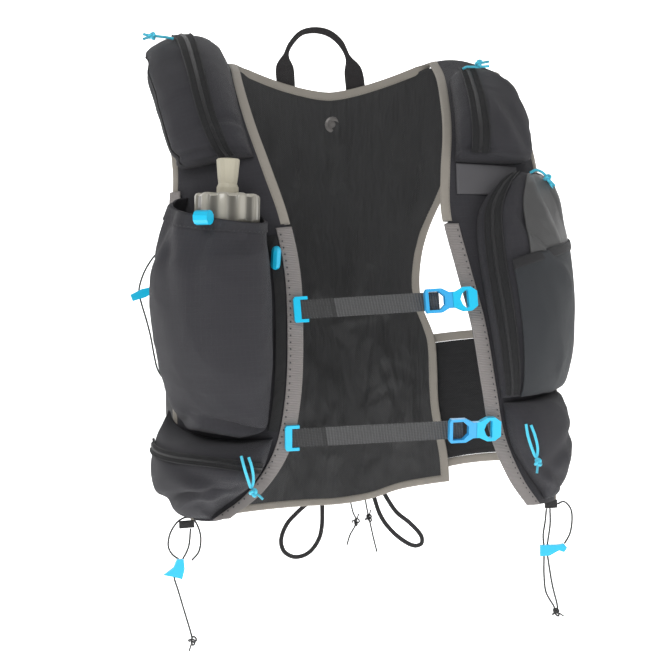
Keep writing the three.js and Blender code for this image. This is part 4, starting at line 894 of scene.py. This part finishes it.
def zip_piece(name, pouch, run, near, far, material, lift=0.0008, level=False):
    """A zip band on a pouch: mesh tape, a covered coil down its middle and a piped edge each side.

    It runs down the pouch, or across it when level, between edges given as shares at even steps of its run."""
    def place(share, distance, height):
        low, high = (read({"at": np.linspace(0, 1, len(edge)), "edge": np.array(edge)}, "edge", share)
                     for edge in (near, far))
        down, across = run[0] + (run[1] - run[0]) * share, low + (high - low) * distance
        u, v = np.broadcast_arrays(*((across, down) if level else (down, across)))
        base = np.maximum(creased(pouch, u, v), 0)
        return pouch_point(pouch, u, v, lift + base + height)
    shares = np.linspace(0, 1, 110)
    band(name + "_band", place, shares, 1.0, 0.0014, material, stands_for=[name] if name in nodes else (),
         square=8.0)
    for part, (middle, wide, thick) in {"coil": (0.5, 0.24, 0.0026), "near_piping": (0.02, 0.09, 0.0026),
                                        "far_piping": (0.98, 0.09, 0.0026)}.items():
        strip = lambda share, distance, height, middle=middle, wide=wide: place(
            share, middle + wide * (distance - 0.5), height + 0.0003)
        band(f"{name}_{part}", strip, shares, 1.0, thick, zip_coil if part == "coil" else dark_piping,
             square=2.0)


def strap_face(strap):
    return {"face": lambda at, across, lift: strap_point(strap, at, across, lift), "turn": strap["sign"]}


zip_tape = meshed("charcoal_zip_band_mesh", 0x1C1C1E, 0.0013)
zip_coil = ribbed("black_nylon_coil_zip", 0x1B1A1D, 0.0011, 0.0004, roughness=0.5)
dark_piping = ribbed("charcoal_corded_piping", 0x161518, 0.0012, 0.0001)
row_names = "at first last rise"
right_shoulder = {**strap_face(right_strap), "start": 0.02, "end": 0.372, "length": 0.18, "breadth": 0.076,
                  "depth": 0.031, "end_round": 5, "side_round": 2.8, "lean": (-0.011, 0.002), "seed": 101,
                  "rows": table(row_names,
                                [(0, 0.15, 1.14, 1), (0.4, 0.13, 1.07, 0.95), (1, 0.15, 0.86, 0.8)]),
                  "seams": (0.78,),
                  "folds": [(0.75, 0.2, 8, 0.02, 0.004, 0.003), (0.9, 0.62, -12, 0.03, 0.005, 0.003),
                            (0.25, 0.85, 60, 0.02, 0.005, 0.003), (0.5, 0.9, 75, 0.025, 0.004, 0.002)]}
pouch_piece("right_shoulder_pocket", right_shoulder, ripstop)
zip_piece("right_shoulder_zip", right_shoulder, (0.13, 0.97), (0.38, 0.3), (0.5, 0.42), zip_tape)
# A small bare tag is folded into the right strap's outer seam.
at, across = np.linspace(0.412, 0.447, 12)[:, None], np.linspace(0.9, 0.99, 8)[None, :]
wall("right_side_tag", strap_point(right_strap, at, across, 0.0045 + 0 * across),
     strap_point(right_strap, at, across, 0.0036 + 0 * across), tape_ribs)
left_shoulder = {**strap_face(left_strap), "start": 0.12, "end": 0.37, "length": 0.132, "breadth": 0.09,
                 "depth": 0.022, "end_round": 4, "side_round": 2.8, "skew": (0, 0.045), "seed": 131,
                 "rows": table(row_names, [(0, 0.16, 0.93, 1), (0.5, 0.13, 0.93, 1), (1, 0.12, 0.88, 0.9)]),
                 "folds": [(0.3, 0.75, 65, 0.03, 0.005, 0.003), (0.62, 0.62, 70, 0.03, 0.006, 0.0025),
                           (0.85, 0.35, 5, 0.03, 0.005, 0.003)]}
pouch_piece("left_shoulder_pocket", left_shoulder, ripstop)
zip_piece("left_shoulder_zip", left_shoulder, (0.14, 0.9), (0.24, 0.24), (0.38, 0.38), zip_tape)
bottle_pocket = {**strap_face(right_strap), "start": 0.447, "end": 0.825, "length": 0.195, "breadth": 0.11,
                 "depth": 0.063, "end_round": 3.2, "side_round": 2.6, "lean": (0.009, -0.005),
                 "skew": (0, 0.08), "corners": (0, 0.012), "seed": 151,
                 "mouth": {"dip": 0.052, "tilt": 0.045, "reach": 0.3}, "slack": 0.0016,
                 "rows": table(row_names,
                               [(0, 0.23, 0.86, 1), (0.15, 0.245, 0.93, 0.98), (0.4, 0.25, 0.98, 1),
                                           (0.7, 0.25, 0.97, 0.93), (1, 0.26, 0.92, 0.78)]),
                 "folds": [(0.08, 0.78, 75, 0.03, 0.006, 0.005), (0.09, 0.9, 80, 0.025, 0.004, 0.004),
                           (0.12, 0.68, 100, 0.025, 0.005, 0.004),
                           (0.06, 0.3, 95, 0.03, 0.006, 0.004), (0.1, 0.5, 88, 0.028, 0.004, 0.002),
                           (0.84, 0.3, -40, 0.035, 0.006, 0.005), (0.8, 0.7, 60, 0.03, 0.006, 0.003)]}
pouch_piece("bottle_pocket", bottle_pocket, ripstop, 140, 110)


hem_from, hem_share = 0.004, 0.045


def mouth_hem(share, distance, lift):
    """The bottle pocket's mouth has a turned hem with one row of stitches."""
    u, v = np.broadcast_arrays(hem_from + hem_share * distance, 0.05 + 0.9 * share)
    return pouch_point(bottle_pocket, u, v, creased(bottle_pocket, u, v) + lift + 0.0005)


band("bottle_pocket_mouth_hem", mouth_hem, np.linspace(0, 1, 130), 1.0, 0.0014, ripstop, square=8.0)
line, up = normals_along(mouth_hem, np.linspace(0.01, 0.99, 260), 0.88, 0.0008)
stitches("bottle_pocket_mouth_stitches", line, up, 0.0036, 0.0022, 0.00055, dark_thread)
right_lower = {**strap_face(right_strap), "start": 0.836, "end": 0.995, "length": 0.095, "breadth": 0.09,
               "depth": 0.04, "end_round": 3, "side_round": 2.3, "skew": (0.08, 0), "corners": (0.005, 0),
               "seed": 171, "slack": 0.0014,
               "rows": table(row_names, [(0, 0.19, 1.02, 1), (0.5, 0.22, 1.06, 1), (1, 0.52, 1.0, 0.6)]),
               "folds": [(0.5, 0.3, -35, 0.03, 0.005, 0.004), (0.62, 0.42, 30, 0.03, 0.005, 0.004),
                         (0.7, 0.75, 10, 0.03, 0.006, 0.003)]}
pouch_piece("right_lower_pocket", right_lower, ripstop)
zip_piece("right_lower_zip", right_lower, (0.12, 0.88), (0.3, 0.255, 0.245, 0.265),
          (0.37, 0.33, 0.32, 0.335), zip_tape, lift=0.0014, level=True)
# Plain strap cloth, lighter than the ripstop, shows between the left shoulder pocket and the tall pocket.
plain_cloth = woven("grey_strap_cloth_plain", 0x5C5B5E, 0.0006, 0.0001, crinkle=4.0)
at, across = np.linspace(0.373, 0.435, 24)[:, None], np.linspace(0.13, 0.72, 30)[None, :]
wall("left_strap_plain_cloth", strap_point(left_strap, at, across, 0.0014 + 0 * across),
     strap_point(left_strap, at, across, 0.0004 + 0 * across), plain_cloth)
left_tall = {**strap_face(left_strap), "start": 0.388, "end": 0.79, "length": 0.2, "breadth": 0.118,
             "depth": 0.03, "end_round": 3, "side_round": 2.4, "seed": 191, "slack": 0.0014,
             "rows": table(row_names, [(0, 0.66, 0.93, 0.8), (0.1, 0.42, 0.95, 0.95), (0.25, 0.26, 0.96, 1),
                                       (0.6, 0.17, 0.96, 1), (1, 0.17, 0.94, 0.8)]),
             "folds": [(0.3, 0.6, 70, 0.035, 0.007, 0.004), (0.22, 0.8, 95, 0.03, 0.006, 0.003),
                       (0.42, 0.5, 40, 0.025, 0.005, 0.003), (0.5, 0.12, 85, 0.05, 0.005, 0.003)]}
pouch_piece("left_tall_pocket", left_tall, ripstop, 140, 100)
zip_piece("left_tall_zip", left_tall, (0.08, 0.92), (0.12, 0.1, 0.1, 0.12), (0.25, 0.235, 0.235, 0.25),
          zip_tape)
stretch = woven("blue_grey_stretch_nylon_smooth", 0x272A2E, 0.0005, 0.00008, roughness=0.7, variation=0.05)
# Its upper part is a satin cloth that bags and catches the light. A stretch pocket with a slanted, bound
# mouth lies over its lower part.
tall_length, tall_breadth = left_tall["length"], left_tall["breadth"]
inner_cloth = woven("grey_satin_pocket_cloth", 0x4A4A4A, 0.0005, 0.00006, roughness=0.42, variation=0.06,
                    crinkle=9.0)
u, v = np.linspace(0.14, 0.475, 60)[:, None], np.linspace(0.38, 0.82, 50)[None, :]
base = np.maximum(creased(left_tall, u, v), 0) + 0.0006 * rumple(tall_breadth * v + 0 * u,
                                                                 tall_length * u + 0 * v, 0.016, 9)
wall("left_tall_inner_cloth", pouch_point(left_tall, u, v, base + 0.0018),
     pouch_point(left_tall, u, v, base + 0.0006),
     inner_cloth)
stretch_left, stretch_right, stretch_top = 0.27, 0.9, 0.475
mouth_rise = lambda share: stretch_top - 0.065 * share
v = np.linspace(stretch_left, stretch_right, 60)[None, :]
u = mouth_rise(np.linspace(0, 1, 60)[None, :])
u = u + (0.93 - u) * np.linspace(0, 1, 70)[:, None]
base = np.maximum(creased(left_tall, u, v), 0) + 0.0003 * rumple(tall_breadth * v + 0 * u,
                                                                 tall_length * u + 0 * v, 0.03, 7)
wall("left_stretch_cloth", pouch_point(left_tall, u, v, base + 0.0026),
     pouch_point(left_tall, u, v, base + 0.0012),
     stretch, stands_for=["left_stretch_pocket"])
mouth_edge = lambda share, distance, lift: pouch_point(
    left_tall, mouth_rise(share) - 0.005 + distance / tall_length,
    stretch_left + (stretch_right - stretch_left) * share + 0 * distance, lift + 0.003)
band("left_stretch_mouth", mouth_edge, np.linspace(0, 1, 60), 0.0055, 0.0024, dark_piping)
left_lower = {**strap_face(left_strap), "start": 0.798, "end": 0.99, "length": 0.105, "breadth": 0.088,
              "depth": 0.027, "end_round": 2.6, "side_round": 2.3, "seed": 211,
              "rows": table(row_names, [(0, 0.18, 0.91, 1), (0.5, 0.22, 0.86, 0.9), (1, 0.5, 0.85, 0.4)]),
              "folds": [(0.45, 0.6, -25, 0.03, 0.005, 0.003), (0.65, 0.4, 35, 0.025, 0.005, 0.003)]}
pouch_piece("left_lower_pocket", left_lower, ripstop)
pack_half, pack_top, pack_gap = 0.088, -0.062, 0.0004
pack_face = lambda at, across, lift: back_point(
    pack_half * (2 * across - 1), pack_top + (hem_line(pack_half * (2 * across - 1)) + 0.001 - pack_top) * at,
    lift + pack_gap)
pack = {"face": pack_face, "turn": -1, "start": 0, "end": 1, "length": 0.384, "breadth": 0.176,
        "depth": 0.034,
        "end_round": 3.6, "side_round": 2.8, "seed": 231, "slack": 0.002, "seams": (0.3, 0.7),
        "rows": table(row_names, [(0, 0.06, 0.94, 0.8), (0.5, 0, 1, 1), (1, 0, 1, 1)])}
pouch_piece("pack_compartment", pack, ripstop, 140, 100)
zip_piece("pack_zip", pack, (0.2, 0.8), (0.17, 0.17), (0.2, 0.2), zip_tape, level=True)


# Webbing loops. Black-brown haul loop in folded tubular webbing, tacked behind the neck, and two flat
# elastic ribbon loops under the pack.
haul_webbing = ribbed("black_brown_haul_webbing", 0x231F21, 0.0012, 0.0002, cross=0.0009)
elastic_ribbon = ribbed("black_elastic_ribbon", 0x211F21, 0.001, 0.00015)


def ribbon(name, rows, base_place, thickness, material):
    rows = table("at x z width", rows)
    middle = lambda s: np.stack([read(rows, "x", s), read(rows, "z", s)], -1) / 1000

    def place(share, distance, lift):
        tangent = unit(middle(np.minimum(share + 0.01, 1)) - middle(np.maximum(share - 0.01, 0)))
        width = read(rows, "width", share) / 1000
        offset = (distance - 0.5) * width
        x = middle(share)[..., 0] - tangent[..., 1] * offset
        z = middle(share)[..., 1] + tangent[..., 0] * offset
        return base_place(x, z, lift + 0 * x)

    band(name + "_webbing", place, np.linspace(0, 1, 140), 1.0, thickness, material, stands_for=[name])


haul_lift = binding_thickness / 2 - panel_wall / 2 + gap + 0.0012
ribbon("haul_loop", [
    (0.0, -35, -46, 19), (0.12, -35, -22, 19), (0.21, -35.5, -5, 18), (0.28, -33.5, 7, 5.5),
    (0.34, -29, 16.5, 5),
    (0.42, -18, 27.5, 5.5), (0.5, -4, 30.5, 6.5), (0.58, 10, 27.5, 7), (0.66, 21.5, 18, 6.5),
    (0.73, 28.5, 4, 5.5),
    (0.8, 33, -9, 17), (0.88, 35, -25, 19), (1.0, 36, -48, 19),
], lambda x, z, lift: back_point(x, z, haul_lift + lift), 0.0024, haul_webbing)
ribbon_reach = 0.132
ribbon_place = lambda x, z, lift: np.stack([x, ribbon_reach + lift, z], -1)
ribbon("right_axe_loop", [
    (0.0, -20, -445.7, 4.5), (0.12, -34, -456.5, 4.5), (0.24, -46, -468.5, 4.5), (0.38, -52.5, -484.5, 4.5),
    (0.48, -49.5, -497, 4.5), (0.57, -38.5, -503.5, 4.5), (0.68, -24.5, -500.5, 4.5), (0.8, -13.5, -488, 4.5),
    (0.9, -9, -472, 4.5), (1.0, -8, -445.4, 4.5)], ribbon_place, 0.0014, elastic_ribbon)
ribbon("left_axe_loop", [
    (0.0, 45, -438.7, 4.5), (0.12, 53, -465.5, 4.5), (0.26, 64.5, -483.5, 4.5), (0.38, 78.5, -496.5, 4.5),
    (0.48, 90, -502.5, 4.5), (0.54, 97.5, -500.5, 4.5), (0.6, 97, -492, 4.5), (0.72, 85.5, -478, 4.5),
    (0.86, 69.5, -463, 4.5), (1.0, 53.5, -435.7, 4.5)], ribbon_place, 0.0014, elastic_ribbon)


# Moulded parts. Bright cyan and pale blue acetal with softly rounded edges, straight from the mould: a satin
# skin with faint flow marks. The bottle is clear soft film; its cap and bite valve are smoky and pale.
def moulded(name, colour, roughness, **inputs):
    material, tree, shader, _, _ = new_material(name, roughness, **inputs)
    patches = tinted(tree, shader, colour, 0.05, 0.006)
    raised(tree, shader, patches, 0.00006)
    return material


cyan_acetal = moulded("cyan_acetal_satin", 0x12C0EA, 0.32, coat_weight=0.2)
pale_acetal = moulded("pale_blue_acetal_satin", 0x35A9E4, 0.34, coat_weight=0.2)
pale_silicone = moulded("pale_silicone_valve", 0xBBB5A2, 0.5, transmission_weight=0.1)
soft_film = moulded("clear_soft_film", 0xC4C4BE, 0.25, transmission_weight=0.6)
snap_paint = moulded("grey_painted_snap", 0x6A6765, 0.45, metallic=0.4)
black_tab = ribbed("black_sewn_tab", 0x2A292C, 0.0012, 0.0002)


def rounded(name, material, edge, body="vest", shift=(0, 0, 0)):
    """A copy of a moulded CAD part with its edges rounded."""
    mesh = nodes[name].data.copy()
    mesh.transform(Matrix.Translation(shift))
    piece = bpy.data.objects.new(name + "_moulded", mesh)
    if not mesh.uv_layers:
        mesh.uv_layers.new(name="map")
    finish_piece(piece, material, body, [name])
    bevel = piece.modifiers.new("edge", "BEVEL")
    bevel.width, bevel.segments, bevel.limit_method = edge, 3, "ANGLE"
    bevel.angle_limit = np.radians(35)
    mesh.polygons.foreach_set("use_smooth", np.ones(len(mesh.polygons), bool))
    mesh.set_sharp_from_angle(angle=np.radians(50))
    return piece


for name in ("right_side_hook", "right_corner_hook", "left_corner_hook", "bottle_pocket_pull"):
    rounded(name, cyan_acetal, 0.0006)
lock_rise = 0.0095
rounded("mouth_cord_lock", cyan_acetal, 0.0006, shift=(0, 0, lock_rise))
for part in ("upper", "lower"):
    rounded(f"{part}_chest_slider", cyan_acetal, 0.0007)
    rounded(f"{part}_chest_buckle_male", pale_acetal, 0.0009)
    rounded(f"{part}_chest_buckle_female", cyan_acetal, 0.0012)
for name in ("right_corner_tab", "left_corner_tab"):
    rounded(name, black_tab, 0.0006)
rounded("hang_snap", snap_paint, 0.0002)
rounded("bottle", soft_film, 0.0003)
rounded("bite_valve", pale_silicone, 0.0008, "bottle_cap")
cap_top = np.array([-0.1348, -0.1125, -0.126])
bottle_axis = unit(np.array([0.07, 0.075, 1.0]))
cap_radius, cap_height, cap_wall = 0.0275, 0.0248, 0.0018
cap_ribs, rib_depth = 10, 0.0008
cap_side = unit(np.cross(bottle_axis, [0.0, 1.0, 0.0]))
cap_front = np.cross(bottle_axis, cap_side)
turn = np.linspace(0, 2 * np.pi, 241)[:, None]
rib = np.tanh(3 * np.cos(cap_ribs * turn))
profile = np.array([(0.002, 0.0), (0.6, 0.0), (0.9, -0.0001), (0.965, -0.0008), (1.0, -0.0026), (1.0, -0.012),
                    (1.0, -0.021), (0.99, -cap_height)])
reach = profile[None, :, 0] * cap_radius - rib_depth * (1 - rib) * (profile[None, :, 0] > 0.95)
height = profile[None, :, 1] - 0.0009 * (1 - rib) * (np.abs(profile[None, :, 0] - 0.95) < 0.06)
outer = cap_top + (np.cos(turn) * reach)[..., None] * cap_side + (np.sin(turn) * reach)[..., None] * cap_front
outer = outer + height[..., None] * bottle_axis
inner = outer - cap_wall * unit(outer - (cap_top - 0.012 * bottle_axis))
smoke_cap, tree, shader, from_rim, round_cap = new_material("smoke_polypropylene_cap", 0.3, coat_weight=0.3)
rib_pitch = float(lengths(outer, 0).mean(1)[-1]) / cap_ribs
# The side of the cap is painted darker in the recesses between its ribs: painted shade.
on_side = calc(tree, "GREATER_THAN", from_rim, -0.002)
between = calc(tree, "MULTIPLY_ADD", wave(tree, round_cap, rib_pitch, np.pi / 2), 0.36, -0.36)
tinted(tree, shader, 0xA5A196, 0.06, 0.006, calc(tree, "MULTIPLY_ADD", on_side, between, 1.0))
wall("bottle_cap_ribbed", outer, inner, smoke_cap, body="bottle_cap", stands_for=["bottle_cap"])
rounded("bottle_pocket_zip", zip_coil, 0.0003)

# Chest strap webbing. Polyester woven with a ladder of raised picks. By each slider its end is folded back,
# plain and darker, and held by a dark keeper.
ladder, tree, shader, across, along = new_material("dark_grey_webbing_ladder_weave", 0.75, sheen_weight=0.08)
folded_length, keeper_width = 0.027, 0.004
folded = calc(tree, "LESS_THAN", along, folded_length)
keeper = calc(tree, "COMPARE", along, folded_length + keeper_width / 2, keeper_width / 2)
rungs = calc(tree, "MULTIPLY_ADD", wave(tree, across, 0.0014), 0.5, wave(tree, along, 0.0026))
dark = calc(tree, "MULTIPLY_ADD", folded, -0.5, calc(tree, "MULTIPLY_ADD", keeper, -0.65, 1.0))
# The webbing's colour is lifted on the raised picks and lowered between them: painted highlight and painted
# shade.
tinted(tree, shader, 0x4D4D4E, 0.06, 0.01,
       calc(tree, "MULTIPLY", dark, calc(tree, "MULTIPLY_ADD", rungs, 0.16, 1.0)))
raised(tree, shader, rungs, 0.0003)
for part in ("upper", "lower"):
    piece = rounded(f"{part}_chest_strap", ladder, 0.0003)
    low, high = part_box(f"{part}_chest_strap")
    places = np.array([vertex.co for vertex in piece.data.vertices])
    axis = np.array(high - low)
    axis[1] = 0
    along = (places - np.array(low)) @ unit(axis)
    corners = np.zeros(len(piece.data.loops), int)
    piece.data.loops.foreach_get("vertex_index", corners)
    piece.data.uv_layers[0].data.foreach_set("uv", np.stack([places[corners, 2], along[corners]], -1).ravel())


# Studio: a pale floor that curves up behind, one broad soft light from the upper left and a weak fill.
floor_height = -0.66
sweep = [(-3.0, 0), (1.4, 0)]
sweep += [(1.4 + 0.8 * np.sin(a), 0.8 - 0.8 * np.cos(a)) for a in np.linspace(0.1, np.pi / 2, 12)]
sweep += [(2.2, 3.5)]
half_floor = 4.0
points = [(x, y, floor_height + z) for y, z in sweep for x in (-half_floor, half_floor)]
faces = [(2 * k, 2 * k + 1, 2 * k + 3, 2 * k + 2) for k in range(len(sweep) - 1)]
backdrop = bpy.data.meshes.new("studio_floor")
backdrop.from_pydata(points, [], faces)
backdrop.polygons.foreach_set("use_smooth", np.ones(len(faces), bool))
studio = bpy.data.objects.new("studio_floor", backdrop)
bpy.context.scene.collection.objects.link(studio)
paper = bpy.data.materials.new("white_paper_sweep")
paper.use_nodes = True
paper_shader = paper.node_tree.nodes["Principled BSDF"]
paper_shader.inputs["Base Color"].default_value = linear(0xFAFAFA)
paper_shader.inputs["Roughness"].default_value = 0.9
paper_shader.inputs["Emission Color"].default_value = (1, 1, 1, 1)
paper_shader.inputs["Emission Strength"].default_value = 0.95
backdrop.materials.append(paper)
studio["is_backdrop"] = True


def soft_light(name, place, size, power):
    data = bpy.data.lights.new(name, "AREA")
    data.shape, data.size, data.energy = "DISK", size, power
    light = bpy.data.objects.new(name, data)
    light.location = place
    towards = Vector((0, 0, aim_height)) - Vector(place)
    light.rotation_euler = towards.to_track_quat("-Z", "Y").to_euler()
    bpy.context.scene.collection.objects.link(light)


soft_light("key_light", place=(-1.1, -1.6, 1.5), size=1.3, power=30)
soft_light("fill_light", place=(1.5, -1.5, 0.3), size=1.6, power=7)
world = bpy.data.worlds.new("studio_air")
world.use_nodes = True
world.node_tree.nodes["Background"].inputs[0].default_value = (1, 1, 1, 1)
world.node_tree.nodes["Background"].inputs[1].default_value = 0.3
bpy.context.scene.world = world
bpy.context.scene.view_settings.view_transform = "Standard"

low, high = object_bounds()
